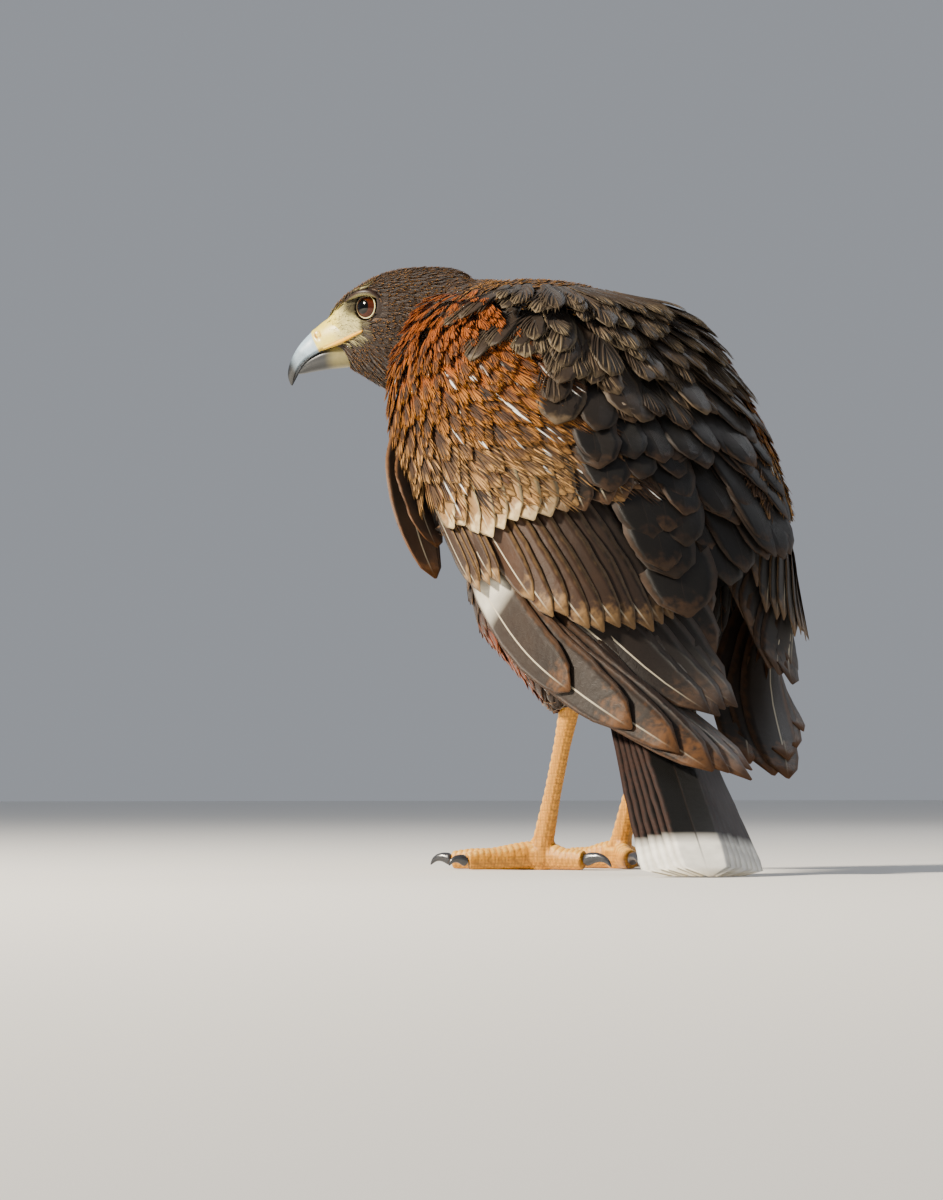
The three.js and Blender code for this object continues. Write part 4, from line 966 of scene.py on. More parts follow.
def build_coat():
    """Small feathers of the head and of both sides of the body, and bristles before the eyes."""
    mesh = bpy.data.objects["skin"].data
    tree = surface_tree(["skin", "bill_and_cere", "brow_left", "brow_right"])
    material = feather_material("contour_feather", 0.8, 0.28, "shaft_dark", 0.65, 0.15)

    def head_part(points):
        forward = head_places(points)[0]
        feathered = ~near_eye(points) & ~near_bill(points)
        return ((forward > HEAD_FEATHERS_FROM) & feathered).astype(float)

    def body_part(points):
        forward = head_places(points)[0]
        behind = (forward <= HEAD_FEATHERS_FROM) & (points[:, 2] > 84)
        return behind.astype(float) * (1 - on_wing_or_back(points))

    def bristly(points):
        forward, _, up = head_places(points)
        return near_bill(points) * (forward < 46) * (up > -18) * (~near_eye(points)).astype(float)

    head = ("coat_head", head_part, 0.56, (-0.2, 1.0), 3, 5)
    left_body = ("coat_body_left", lambda p: body_part(p) * (p[:, 0] >= 0), 0.6, (-0.4, 2.2), 5, 6)
    right_body = ("coat_body_right", lambda p: body_part(p) * (p[:, 0] < 0), 0.6, (-0.4, 2.2), 5, 6)
    bristles = ("loral_bristles", bristly, 1.3, (0.1, 1.2), 3, 4)
    for name, keep, share, rise, columns, rows in (head, left_body, right_body, bristles):
        spots = scattered(mesh, keep, lambda p: lie_at(p)[2] * share + 0.2, 5)
        way, length, width = lie_at(spots)
        rng = np.random.default_rng(17)
        way = unit(way + 0.12 * rng.standard_normal(way.shape))
        length = length * rng.uniform(0.85, 1.25, len(length))
        colour, fringe = body_markings(spots)
        chance = rng.uniform(-0.5, 0.5, len(spots))
        style = dict(BODY_STYLE, columns=columns, streak=0.55)
        if name == "coat_head":
            style.update(thickness=0.3, fray=0.03, ripple=0.0, point=1.6, round_from=0.3)
            gold = rng.random(len(spots)) ** 1.4
            fringe[:, 3] *= 0.15 + 1.0 * gold
            colour = colour * rng.uniform(0.7, 1.3, (len(spots), 1))
        if name == "loral_bristles":
            style.update(thickness=0.16, fray=0.0, ripple=0.0, point=1.2, round_from=0.1, streak=0.0)
            way = unit(way + np.array([0.0, 0.0, 0.35]) + 0.2 * rng.standard_normal(way.shape))
            width, length = np.full(len(spots), 0.3), rng.uniform(2.6, 4.6, len(spots))
            # Bristles take random tones from the painted socket shade to the lore's colour, most of them
            # dark
            colour = mix(tint("socket"), tint("lore") * 1.1, rng.random(len(spots)) ** 1.5)
            fringe[:, 3] = 0
        at, normal = follow(tree, spots, way, length, rows, rise)
        at[:, -1] += normal[:, -1] * rng.uniform(-0.2, 0.6, len(length))[:, None]
        unwrap = unwrap_body(spots) if "body" in name else unwrap_head(spots)
        make_vanes(name, at, normal, width, style, colour, fringe, chance, unwrap, material,
                   "body_feathers")


# Wing feathers

WING_TIERS = {
    "primaries": {
        "count": 7, "width": 27, "lean": 7, "shaft": 0.66, "rows": 18, "columns": 7,
        "from": [(101, 148, -7), (104, 184, -15)],
        "to": [(81, 86), (70, 62), (59, 50), (47, 50), (36, 58)],
        "to_right": [(62, 98), (34, 84), (14, 73), (2, 69), (-6, 75)],
        "lift": (-1, -11), "lift_right": (-24, -31),
        "root": 0.5, "belly": 0.3, "round_from": 0.66, "point": 2.2,
    },
    "secondaries": {
        "count": 12, "width": 24, "lean": -9, "shaft": 0.6, "rows": 16, "columns": 7,
        "from": [(98, 180, -9.5), (42, 208, -8)],
        "to": [(39, 92), (32, 82), (24, 80), (17, 90), (11, 108), (7, 130)],
        "to_right": [(38, 108), (31, 101), (24, 99), (17, 106), (11, 120), (7, 138)],
        "lift": (-8, -4),
        "root": 0.5, "belly": 0.3, "round_from": 0.8, "point": 2.6,
    },
    "primary_coverts": {
        "count": 6, "width": 13, "lean": -8, "shaft": 0.6, "rows": 12, "columns": 5,
        "from": [(106, 188, -6), (94, 194, -6)],
        "to": [(98, 138), (90, 138), (82, 142)],
        "lift": (-2, -2),
        "root": 0.5, "belly": 0.3, "round_from": 0.7, "point": 2.2,
    },
    "greater_coverts": {
        "count": 13, "width": 19, "lean": -7, "shaft": 0.6, "rows": 14, "columns": 7,
        "from": [(88, 196, -6), (38, 220, -6)],
        "to": [(73, 128), (63, 121), (53, 115), (42, 115), (31, 121), (21, 130), (14, 144)],
        "lift": (-2.6, -1.4),
        "root": 0.5, "belly": 0.35, "round_from": 0.6, "point": 1.9,
    },
    "median_coverts": {
        "count": 12, "width": 19, "lean": -7, "shaft": 0.55, "rows": 12, "columns": 7,
        "from": [(99, 212, -5), (38, 232, -5)],
        "to": [(93, 169), (81, 164), (70, 168), (58, 171), (46, 173), (32, 180)],
        "lift": (0.2, 1.0),
        "root": 0.5, "belly": 0.4, "round_from": 0.62, "point": 2.3,
    },
    "alula": {
        "count": 2, "width": 26, "lean": -58, "shaft": 0.5, "rows": 16, "columns": 9,
        "from": [(118, 222, -6), (113, 210, -6)],
        "to": [(112, 146), (106, 160)],
        "lift": (5, 1),
        "root": 0.5, "belly": 0.35, "round_from": 0.45, "point": 2.4,
    },
}
FLIGHT_STYLE = {"camber": 0.05, "ripple": 0.06, "fray": 0.022, "thickness": 0.6, "seed": 29}


def tier_lines(tier, side, rng):
    """Lines of the vanes of one tier, from their roots on the arm to their tips."""
    count, rows = tier["count"], tier["rows"]
    ends = np.array(tier["to_right"] if side < 0 and "to_right" in tier else tier["to"], float)
    lifts = tier["lift_right"] if side < 0 and "lift_right" in tier else tier["lift"]
    share = np.linspace(0, 1, count)
    start = np.array([lerp(a, b, share) for a, b in zip(*tier["from"])])
    index = share * (len(ends) - 1)
    tip = np.array([np.interp(index, np.arange(len(ends)), ends[:, k]) for k in (0, 1)])
    tip[0] += rng.uniform(-0.8, 0.8, count)
    tip[1] += rng.uniform(-4, 4, count)
    t = np.linspace(0, 1, rows)
    angle = lerp(start[0][:, None], tip[0][:, None], t)
    height = lerp(start[1][:, None], tip[1][:, None], t)
    tip_lift = lerp(lifts[0], lifts[1], share) + rng.uniform(-0.3, 0.3, count)
    lift = lerp(start[2][:, None], tip_lift[:, None], smooth(t))
    return on_outline(side * angle, height, lift)


def tier_colours(name, at):
    """Colour along each vane, and its fringe."""
    count, rows = at.shape[:2]
    share = np.linspace(0, 1, count)
    t = np.linspace(0, 1, rows)
    even = np.ones((count, rows))
    if name == "primaries":
        colour = mix(tint("primary"), tint("secondary"), even * share[:, None])
        patch = smooth((0.42 - t) / 0.12)[None] * (share[:, None] < 0.25) * smooth((t - 0.1) / 0.1)[None]
        colour = mix(colour, tint("primary_white"), patch * 0.8)
        colour = mix(colour, tint("tail"), smooth((t - 0.6) / 0.4)[None] * 0.5 * even)
        edge, strength = tint("primary_edge"), 0.3
    elif name == "secondaries":
        colour = mix(tint("secondary"), tint("back"), even * (0.2 + 0.8 * share[:, None]))
        edge, strength = tint("back_edge"), 0.5
    elif name == "primary_coverts":
        colour = mix(tint("primary"), tint("covert_brown"), even * 0.3)
        edge, strength = tint("tan"), 0.5
    elif name == "greater_coverts":
        dark = np.clip(share * 1.3, 0, 1)[:, None] * even
        colour = mix(mix(tint("covert_brown"), tint("secondary"), even * 0.45), tint("back"), dark)
        edge, strength = mix(tint("tan"), tint("back_edge"), share), 0.4
    elif name == "median_coverts":
        dark = smooth((share - 0.45) / 0.4)[:, None] * even
        colour = mix(tint("covert_brown"), tint("back"), dark)
        pale = smooth((t - 0.45) / 0.4)[None] * (1 - dark) * 0.5
        colour = mix(colour, tint("tan"), pale)
        edge, strength = mix(tint("cream"), tint("back_edge"), smooth((share - 0.4) / 0.4)), 0.9
    else:
        colour = mix(tint("secondary"), tint("primary"), even * 0.5)
        colour = mix(colour, tint("covert_brown"), smooth((t - 0.5) / 0.4)[None] * 0.6 * even)
        edge, strength = tint("primary_edge"), 0.4
    edge = np.broadcast_to(edge, (count, 3))
    return colour, np.concatenate([edge, np.full((count, 1), strength)], -1)


def build_wing(side):
    """The tiers of large feathers of one wing."""
    name = "left" if side > 0 else "right"
    flight = feather_material(f"flight_feather_{name}", 0.9, 0.55, "shaft_pale", 0.5, 0.12)
    rng = np.random.default_rng(41 if side > 0 else 97)
    for tier_name, tier in WING_TIERS.items():
        at, normal = tier_lines(tier, side, rng)
        colour, fringe = tier_colours(tier_name, at)
        columns, count = tier["columns"], tier["count"]
        colour = np.broadcast_to(colour[:, :, None], colour.shape[:2] + (columns, 3))
        style = dict(FLIGHT_STYLE, columns=columns, lean=tier["lean"] * side, root=tier["root"],
                     belly=tier["belly"], round_from=tier["round_from"], point=tier["point"],
                     shaft=tier["shaft"] if side > 0 else 1 - tier["shaft"], even=1.0)
        width = tier["width"] * rng.uniform(0.95, 1.06, count)
        chance = rng.uniform(-0.4, 0.4, count)
        root = unwrap_body(at[:, 0], 1)
        make_vanes(f"{tier_name}_{name}", at, normal, width, style, colour, fringe,
                                 chance, root, flight, "wing_feathers")
    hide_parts(f"wing_{name}")


LESSER_ROWS = 20


def covert_paint(colour, fringe, streak, shaft):
    """Loose barbs: dark on the drop beside the shaft, the covert's colour round it, a paler rim and
    here and there a painted highlight, a white glint of light along the shaft."""
    def paint(share, along):
        drop = smooth((0.55 - share) / 0.25) * smooth((along - 0.45) / 0.15) * smooth((1.0 - along) / 0.1)
        base = np.broadcast_to(colour[:, None, None], share.shape + (3,))
        rim = smooth((along - 0.5) / 0.4) * fringe[:, None, None, 3]
        base = mix(base, fringe[:, None, None, :3], rim)
        base = mix(base, tint("drop"), drop * streak[:, None, None])
        # Painted highlight: a white glint of light along the shaft of some coverts
        glint = (share < 0.07) * smooth((along - 0.3) / 0.2) * shaft[:, None, None]
        return mix(base, tint("white"), glint)
    return paint


def build_lesser_coverts(side):
    """Small coverts from the shoulder to the median coverts, hair-fine at the top."""
    name = "left" if side > 0 else "right"
    rng = np.random.default_rng(61 + side)
    angles, heights, lengths = [], [], []
    for row in range(LESSER_ROWS):
        share = row / (LESSER_ROWS - 1)
        height = lerp(291, 206, share)
        inner = np.interp(share, [0, 0.2, 0.5, 1], [66, 54, 42, 36])
        outer = lerp(112, 124, smooth(share * 1.6))
        step = lerp(3.0, 6.2, share)
        row_angles = np.arange(inner + (row % 2) * step / 2, outer, step)
        angles.append(row_angles)
        sag = 10 * smooth((row_angles - 96) / 26)
        heights.append(np.full(len(row_angles), height) - sag)
        lengths.append(np.full(len(row_angles), lerp(11, 29, share ** 1.3)))
    angle, height, length = map(np.concatenate, (angles, heights, lengths))
    count, rows = len(angle), 7
    angle = angle + rng.uniform(-1.6, 1.6, count)
    height = height + rng.uniform(-3, 3, count)
    length = length * rng.uniform(0.8, 1.2, count)
    t = np.linspace(0, 1, rows)
    drift = lerp(-6, -13, smooth((280 - height) / 70)) * smooth((118 - angle) / 40)
    drift = drift + rng.uniform(-2, 2, count)
    line_height = height[:, None] - length[:, None] * t
    line_angle = angle[:, None] + (drift * length / 22)[:, None] * t
    rise = lerp(0.2, 1.6, smooth((265 - height) / 60))
    lift = lerp(-5.0, rise[:, None], t[None]) + rng.uniform(-0.3, 0.8, count)[:, None] * t
    at, normal = on_outline(side * line_angle, line_height, lift)
    colour, fringe, streak = wing_markings(angle, height - length * 0.7)
    colour = colour * rng.uniform(0.85, 1.15, (count, 1))
    streak = streak * np.where(rng.random(count) < 0.85, rng.uniform(0.75, 1.0, count), 0.2)
    # Which coverts carry a painted white glint along the shaft, and how strong it is
    shaft = (rng.random(count) < 0.15) * smooth((262 - height) / 12) * 0.9
    width = length * lerp(0.5, 0.6, smooth((260 - height) / 50))
    root = unwrap_body(at[:, 0], 1)
    vane = lerp(0.5, 0.9, smooth((262 - height) / 40))
    style = dict(BODY_STYLE, columns=5, root=0.45, belly=0.5, round_from=0.45, camber=0.12, seed=33,
                 thickness=millimetres("covert_thickness"), streak=streak * 0.9, fray=0.06, notch=0.1)
    material = feather_material(f"covert_{name}", 0.8, 0.3, "shaft_dark", 0.6, 0.1)
    make_vanes(f"lesser_coverts_{name}", at, normal, width * vane, style, colour, fringe,
               rng.uniform(-0.5, 0.5, count), root, material, "wing_feathers")
    locks = {"locks": 11, "seed": 71, "reach": 1.04, "round": 0.3, "fray": 0.035, "spring": 0.5,
             "above": 0.35, "camber": 0.06}
    make_locks(f"covert_barbs_{name}", at, normal, width, locks,
               covert_paint(colour, fringe, streak, shaft), root, barb_material(f"covert_barb_{name}"),
               "wing_feathers")


MANTLE_ROWS = 12
MANTLE_TOP = 298.0
# Half width of the mantle as an angle, by height
MANTLE_EDGE = [(165, 14), (190, 16), (207, 20), (237, 30), (250, 36), (262, 42), (285, 54), (296, 70)]


def mantle_paint(colour, fringe):
    """Loose barbs of the back: the feather's colour, with a paler rim."""
    def paint(share, along):
        base = np.broadcast_to(colour[:, None, None], share.shape + (3,))
        return mix(base, fringe[:, None, None, :3], smooth((along - 0.6) / 0.4) * fringe[:, None, None, 3])
    return paint


def build_mantle():
    """Back and shoulder feathers between the wings, long at the lower edge and small at the neck."""
    rng = np.random.default_rng(7)
    angles, heights, lengths = [], [], []
    for row in range(MANTLE_ROWS):
        share = row / (MANTLE_ROWS - 1)
        height = lerp(301, 208, share ** 0.9)
        edge = read_rows(MANTLE_EDGE, np.array([height]))[0, 0]
        step = lerp(5.0, 9.5, share)
        half = np.arange((row % 2) * step / 2 + 0.01, edge, step)
        row_angles = np.concatenate([-half[half > 1][::-1], half])
        angles.append(row_angles)
        droop = 8 * (np.abs(row_angles) / max(edge, 1)) ** 2
        heights.append(height - droop)
        lengths.append(lerp(20, 60, share) * (1 + 0.25 * np.abs(row_angles) / edge))
    angle, height, length = map(np.concatenate, (angles, heights, lengths))
    count, rows = len(angle), 12
    angle = angle + rng.uniform(-3.2, 3.2, count)
    height = np.minimum(height + rng.uniform(-6, 6, count), MANTLE_TOP)
    length = length * rng.uniform(0.75, 1.2, count)
    t = np.linspace(0, 1, rows)
    line_height = height[:, None] - length[:, None] * t
    spread = 1 + 0.25 * (length / 46)[:, None] * t
    line_angle = angle[:, None] * spread + rng.uniform(-5, 5, count)[:, None] * t ** 2
    large = smooth((length - 20) / 34)
    tip_lift = lerp(0.8, 3.2, large) + rng.uniform(-0.8, 1.6, count)
    lift = lerp(-6.0, tip_lift[:, None], smooth(t)[None])
    at, normal = on_outline(line_angle, line_height, lift)
    colour, fringe = mantle_markings(height)
    colour = colour * rng.uniform(0.7, 1.4, (count, 1))
    fringe[:, 3] *= rng.uniform(0.3, 1.2, count)
    width = length * lerp(0.62, 0.52, large)
    root = unwrap_body(at[:, 0], 2)
    style = dict(FLIGHT_STYLE, columns=7, root=0.5, belly=0.4, round_from=0.55, point=2.3, notch=0.12,
                 camber=0.1, lean=-4 * np.sign(angle) + rng.uniform(-7, 7, count), fray=0.035, even=1.0,
                 thickness=millimetres("vane_thickness"))
    material = feather_material("mantle_feather", 0.9, 0.35, "shaft_dark", 0.5, 0.05)
    make_vanes("mantle_feathers", at, normal, width * lerp(0.75, 1.0, large), style, colour, fringe,
               rng.uniform(-0.5, 0.5, count), root, material, "body_feathers")
    soft = np.flatnonzero(length < 40)
    locks = {"locks": 11, "seed": 73, "reach": 1.03, "round": 0.3, "fray": 0.03, "spring": 0.5,
             "above": 0.4, "camber": 0.08}
    make_locks("mantle_barbs", at[soft], normal[soft], width[soft], locks,
               mantle_paint(colour[soft], fringe[soft]), root[soft], barb_material("mantle_barb"),
               "body_feathers")


# Tail

TAIL_DOWN = math.asin(TAIL_ROOT[2] / TAIL_LENGTH)
TAIL_ALONG = np.array([math.sin(TAIL_SWING) * math.cos(TAIL_DOWN),
                       math.cos(TAIL_SWING) * math.cos(TAIL_DOWN), -math.sin(TAIL_DOWN)])
TAIL_ACROSS = np.array([math.cos(TAIL_SWING), -math.sin(TAIL_SWING), 0.0])
TAIL_NORMAL = np.cross(TAIL_ACROSS, TAIL_ALONG)
TAIL_NORMAL = TAIL_NORMAL * np.sign(TAIL_NORMAL[2])
TAIL_PAIRS = 6
# Between neighbours: degrees of fan, distance across at the root, and distance in depth
TAIL_FAN = 0.68
TAIL_SPREAD = 0.8
TAIL_STEP = 0.85
# Where the feathers, their white band and its worn end start
TAIL_FROM, TAIL_BAND_FROM, TAIL_WORN_FROM = 20, 205, 234


def on_tail(along, across, above):
    return (TAIL_ROOT + np.multiply.outer(along, TAIL_ALONG) + np.multiply.outer(across, TAIL_ACROSS)
            + np.multiply.outer(above, TAIL_NORMAL))


def build_tail():
    """Tail feathers in pairs, fanned a little and stacked from the middle pair down."""
    rng = np.random.default_rng(23)
    rows, columns = 26, 9
    t = np.linspace(0, 1, rows)
    lines, bases = [], []
    for pair in range(TAIL_PAIRS):
        for side in (1, -1):
            along = lerp(TAIL_FROM, TAIL_LENGTH - 1.5 * pair + rng.uniform(-1.5, 1.0), t)
            fan = math.tan(math.radians(side * (pair + 0.5) * TAIL_FAN))
            across = side * (pair + 0.5) * TAIL_SPREAD + fan * (along - 28)
            level = -(2 * pair + (side < 0)) * TAIL_STEP * smooth(along / 110)
            lines.append(on_tail(along, across, 0) + TAIL_NORMAL * level[:, None])
            bases.append(on_tail(along[:1], across[:1], 0)[0])
    at = np.array(lines)
    at[..., 2] = np.maximum(at[..., 2], 0.6)
    count = len(at)
    normal = np.broadcast_to(TAIL_NORMAL, at.shape)
    length = lerp(TAIL_FROM, TAIL_LENGTH, t)
    band = smooth((length - TAIL_BAND_FROM) / 5)
    colour = mix(tint("tail"), tint("white"), band)
    colour = mix(colour, tint("tail_tip"), smooth((length - TAIL_WORN_FROM) / 4) * 0.6)
    colour = np.broadcast_to(colour[None, :, None], (count, rows, columns, 3)).copy()
    edge = np.broadcast_to(np.append(tint("tail_edge"), 0.0), (count, rows, columns, 4)).copy()
    edge[..., 3] = 0.35 * (1 - band)[None, :, None]
    style = dict(FLIGHT_STYLE, columns=columns, root=0.6, belly=0.2, round_from=0.93, point=2.6,
                 camber=0.015, lean=0.0, fray=0.012, even=1.0, thickness=0.55, ripple=0.03)
    material = feather_material("tail_feather", 1.0, 0.6, "shaft_dark", 0.5, 0.03)
    base = np.stack([0.2 + 0.05 * np.arange(count), np.full(count, 0.72)], -1)
    width = np.full(count, millimetres("tail_width"))
    tail = make_vanes("tail_feathers", at, normal, width, style, colour, edge,
                      rng.uniform(-0.3, 0.3, count), base, material, "tail_feathers")
    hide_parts("tail")
    build_tail_coverts(rng, material)


TAIL_COVERT_LAYERS = 5


def build_tail_coverts(rng, material):
    """Dark coverts over the tail's root and white ones under it."""
    rows = 9
    t = np.linspace(0, 1, rows)
    for name, above, tone, reach in (("uppertail_coverts", 1, "back", 112),
                                     ("undertail_coverts", -1, "white", 120)):
        lines, ups, widths = [], [], []
        for layer in range(TAIL_COVERT_LAYERS):
            share = layer / (TAIL_COVERT_LAYERS - 1)
            start = lerp(-6, 50, share)
            along = lerp(start, start + lerp(40, reach - 50, share), t)
            half_width = lerp(20, 17, along / 110)
            half_height = np.interp(along, [0, 40, 75, 105, 130], [15, 14, 9.5, 5, 3])
            rise = lerp(-1.5, 1.5, t)
            for k in range(7):
                a = math.radians((k - 3) * 24 + rng.uniform(-4, 4))
                across = math.sin(a) * (half_width + rise)
                up = above * math.cos(a) * (half_height + rise) - 3
                lines.append(on_tail(along, 0, 0) + np.multiply.outer(across, TAIL_ACROSS)
                             + np.multiply.outer(up, TAIL_NORMAL))
                out = math.sin(a) * TAIL_ACROSS + above * math.cos(a) * TAIL_NORMAL
                ups.append(np.broadcast_to(out, (rows, 3)))
                widths.append(lerp(15, 19, share))
        at, normal = np.array(lines), np.array(ups)
        count = len(at)
        style = dict(BODY_STYLE, columns=5, camber=0.1, seed=3)
        colour = np.broadcast_to(tint(tone), (count, 3))
        edge = tint("back_edge") if above > 0 else tint("tail_tip")
        fringe = np.broadcast_to(np.append(edge, 0.4), (count, 4))
        base = np.stack([0.3 + 0.015 * np.arange(count), np.full(count, 0.70 if above > 0 else 0.76)], -1)
        make_vanes(name, at, normal, np.array(widths), style, colour, fringe,
                   rng.uniform(-0.3, 0.3, count), base, material, "tail_feathers")


# Bill, eyes and the bare skin of the face

# Rings of the upper bill with the cere, from the face to the hook: forward and up of the ridge,
# forward and up of the cutting edge, half width.
UPPER_BILL = [
    (37.0, -0.5, 29.0, -15.6, 11.8), (41.0, -1.0, 34.0, -17.4, 11.5), (45.0, -3.0, 38.6, -18.8, 10.5),
    (48.7, -5.1, 43.0, -19.9, 9.3), (52.3, -7.9, 47.0, -20.9, 8.1), (56.1, -11.1, 50.6, -22.0, 7.1),
    (60.0, -14.9, 54.0, -23.5, 6.3), (63.3, -18.9, 57.2, -25.2, 5.4), (66.0, -23.4, 60.2, -27.5, 4.4),
    (67.9, -28.0, 62.6, -30.5, 3.2), (68.6, -32.2, 64.2, -33.4, 2.1), (68.0, -35.6, 65.3, -36.0, 1.1),
    (66.9, -38.0, 66.2, -38.1, 0.25),
]
# Rings of the lower bill, from the throat to its tip, in the same way, with its lower side first.
LOWER_BILL = [
    (34.0, -29.0, 31.0, -16.0, 7.5), (39.5, -29.5, 37.0, -18.0, 7.3), (45.0, -29.9, 43.0, -19.6, 6.8),
    (50.5, -30.6, 49.0, -21.4, 6.0), (55.5, -31.3, 54.0, -23.7, 5.0), (59.5, -32.0, 58.0, -26.4, 3.8),
    (62.2, -32.3, 60.8, -29.0, 2.5), (63.3, -32.2, 62.2, -31.0, 1.1),
]
NOSTRIL = (50.9, -12.6)
RING_SIDES = 36


def loft(name, rings, closed=False):
    """A mesh of rings of places, bridged in order, with both ends closed or joined to each other."""
    bm = bmesh.new()
    edges = []
    for ring in rings:
        circle = bmesh.ops.create_circle(bm, cap_ends=False, segments=len(ring), radius=1)["verts"]
        for vert, place_mm in zip(circle, ring):
            vert.co = Vector(place_mm) * MM
        edges.append(list({e for v in circle for e in v.link_edges}))
    pairs = list(zip(edges, edges[1:])) + ([(edges[-1], edges[0])] if closed else [])
    for first, second in pairs:
        bmesh.ops.bridge_loops(bm, edges=first + second)
    if not closed:
        bmesh.ops.holes_fill(bm, edges=edges[0] + edges[-1], sides=0)
    bmesh.ops.triangulate(bm, faces=[f for f in bm.faces if len(f.verts) > 4])
    bmesh.ops.recalc_face_normals(bm, faces=bm.faces)
    return finished(bm, name)


def bill_rings(rows, fullness, hollow, steps):
    """Rings across the bill. Each has an outer side that arches from edge to edge over the ridge
    and an inner side that is nearly flat."""
    rows = np.array(rows, float)
    share = np.linspace(0, len(rows) - 1, steps)
    rows = read_rows(np.column_stack([np.arange(len(rows)), rows]), share)
    outer = np.linspace(-math.pi / 2, math.pi / 2, RING_SIDES * 2 // 3)
    inner = np.linspace(math.pi / 2, -math.pi / 2, RING_SIDES // 3 + 2)[1:-1]
    side = np.concatenate([np.sin(outer), np.sin(inner)])
    rise = np.concatenate([np.cos(outer) ** fullness, hollow * np.cos(inner)])
    bulge = np.sign(side) * np.abs(side) ** 0.85
    return [on_head(lerp(edge_f, ridge_f, rise), half * bulge, lerp(edge_u, ridge_u, rise))
            for ridge_f, ridge_u, edge_f, edge_u, half in rows]


def build_bill():
    """The upper bill with its cere and nostrils, and the lower bill."""
    horn = horn_material("bill_horn")
    upper = loft("bill_and_cere", bill_rings(UPPER_BILL, 0.8, 0.12, 72))
    points = points_of(upper)
    forward, left, up = head_places(points)
    # The cere ends on a line that leans forward towards the top, as a low swollen rim.
    line = forward - (52.6 + 0.52 * (up + 16))
    cere = 1 - smooth((line + 0.5) / 1.0)
    rim = np.exp(-((line + 1.4) / 1.2) ** 2) * 0.35
    out = unit(np.multiply.outer(np.sign(left) * 0.8, HEAD_LEFT) + 0.6 * UP + 0.3 * HEAD_FORWARD)
    hole = np.hypot(forward - NOSTRIL[0], (up - NOSTRIL[1]) * 1.1)
    pit = -0.9 * smooth((2.0 - hole) / 0.9) + 0.7 * smooth((0.8 - hole) / 0.5)
    flank = smooth((np.abs(left) - 3) / 1.5)
    sideways = np.multiply.outer(np.sign(left), HEAD_LEFT)
    set_points(upper, points + out * rim[:, None] + sideways * (pit * flank)[:, None])
    tip = smooth((forward - 60) / 8 + (-27 - up) / 14)
    colour = mix(tint("bill"), tint("bill_tip"), tip)
    under = -22.5 - up + 0.495 * np.maximum(forward - 54, 0)
    edge_dark = smooth(under / 3) * (1 - cere) * 0.35
    colour = mix(colour, tint("bill_low"), edge_dark)
    face, _ = face_markings(forward, up)
    colour = mix(colour, face, cere)
    low = smooth((-17.0 - up - 0.28 * (forward - 42)) / 2) * cere
    colour = mix(colour, tint("gape"), low * 0.5)
    ring = smooth((2.3 - hole) / 0.8) * smooth((hole - 0.5) / 0.4) * flank * cere
    colour = mix(colour, tint("nostril"), ring)
    store(upper, "plumage", with_alpha(colour))
    place(upper, "bill_and_cere", horn, "horn", "cere", "bill_upper")

    lower = loft("lower_bill", bill_rings(LOWER_BILL, 0.62, -0.05, 40))
    forward = head_places(points_of(lower))[0]
    colour = mix(tint("bill_base"), tint("bill_low"), smooth((forward - 40) / 8))
    store(lower, "plumage", with_alpha(colour))
    place(lower, "lower_bill", horn, "horn", "bill_lower")


def horn_material(name):
    """Polished horn of the bill: smooth, with a thin clear gloss and faint growth cloudiness."""
    return grained_material(name, 1.4, 1.08, 0.88, 0.06, **{
        "Roughness": 0.36, "IOR": 1.55, "Coat Weight": 0.25, "Coat Roughness": 0.25})


def eye_material(side):
    """A wet eye: reddish-brown iris round a black pupil, under a clear coat that gives the glint."""
    material, tree, shader = new_material(f"wet_eye_{side}", **{
        "Roughness": 0.12, "IOR": 1.38, "Specular IOR Level": 0.15, "Coat Weight": 0.5,
        "Coat Roughness": 0.02})
    paint = add_node(tree, "Attribute", attribute_name="plumage")
    tree.links.new(paint.outputs["Color"], shader.inputs["Base Color"])
    return material


PUPIL_RADIUS = 3.7
IRIS_RADIUS = 6.2
LID_SIDES = 10
BROW_SIDES = 12


def build_eyes():
    for side, name in ((1, "left"), (-1, "right")):
        gaze = unit(HEAD_FORWARD * 0.5 + HEAD_LEFT * side)
        centre = on_head(EYE["forward"], side * EYE["side"], EYE["up"])
        bm = bmesh.new()
        bmesh.ops.create_uvsphere(bm, u_segments=96, v_segments=72, radius=EYE["radius"])
        rng = np.random.default_rng(3)
        phase = rng.uniform(0, 2 * math.pi, 6)
        colours = []
        for v in bm.verts:
            off = math.hypot(v.co.x, v.co.y)
            a = math.atan2(v.co.y, v.co.x)
            fibre = sum(math.sin((9 + 7 * k) * a + phase[k]) for k in range(6)) / 6
            colour = tint("iris") * (1.0 + 0.5 * fibre) * (0.6 + 0.9 * min(off / IRIS_RADIUS, 1))
            if v.co.z < 0 or off > IRIS_RADIUS:
                colour = tint("back") * 0.4
            elif off < PUPIL_RADIUS:
                colour = tint("back") * 0.05
            colours.append([*colour, 1.0])
            if v.co.z > 0:
                v.co.z += 0.3 * max(0.0, 1 - (off / IRIS_RADIUS) ** 2)
        turn = Vector(UP).rotation_difference(Vector(gaze)).to_matrix().to_4x4()
        bmesh.ops.transform(bm, matrix=Matrix.Translation(Vector(centre)) @ turn, verts=bm.verts)
        bmesh.ops.scale(bm, vec=(MM, MM, MM), verts=bm.verts)
        mesh = finished(bm, f"eye_{name}")
        store(mesh, "plumage", np.array(colours))
        place(mesh, f"eyeball_{name}", eye_material(name), "eye", f"eye_{name}")
        bare = bare_skin_material(f"bare_skin_{name}")
        build_lid(side, name, centre, bare)
        build_brow(side, name, bare)


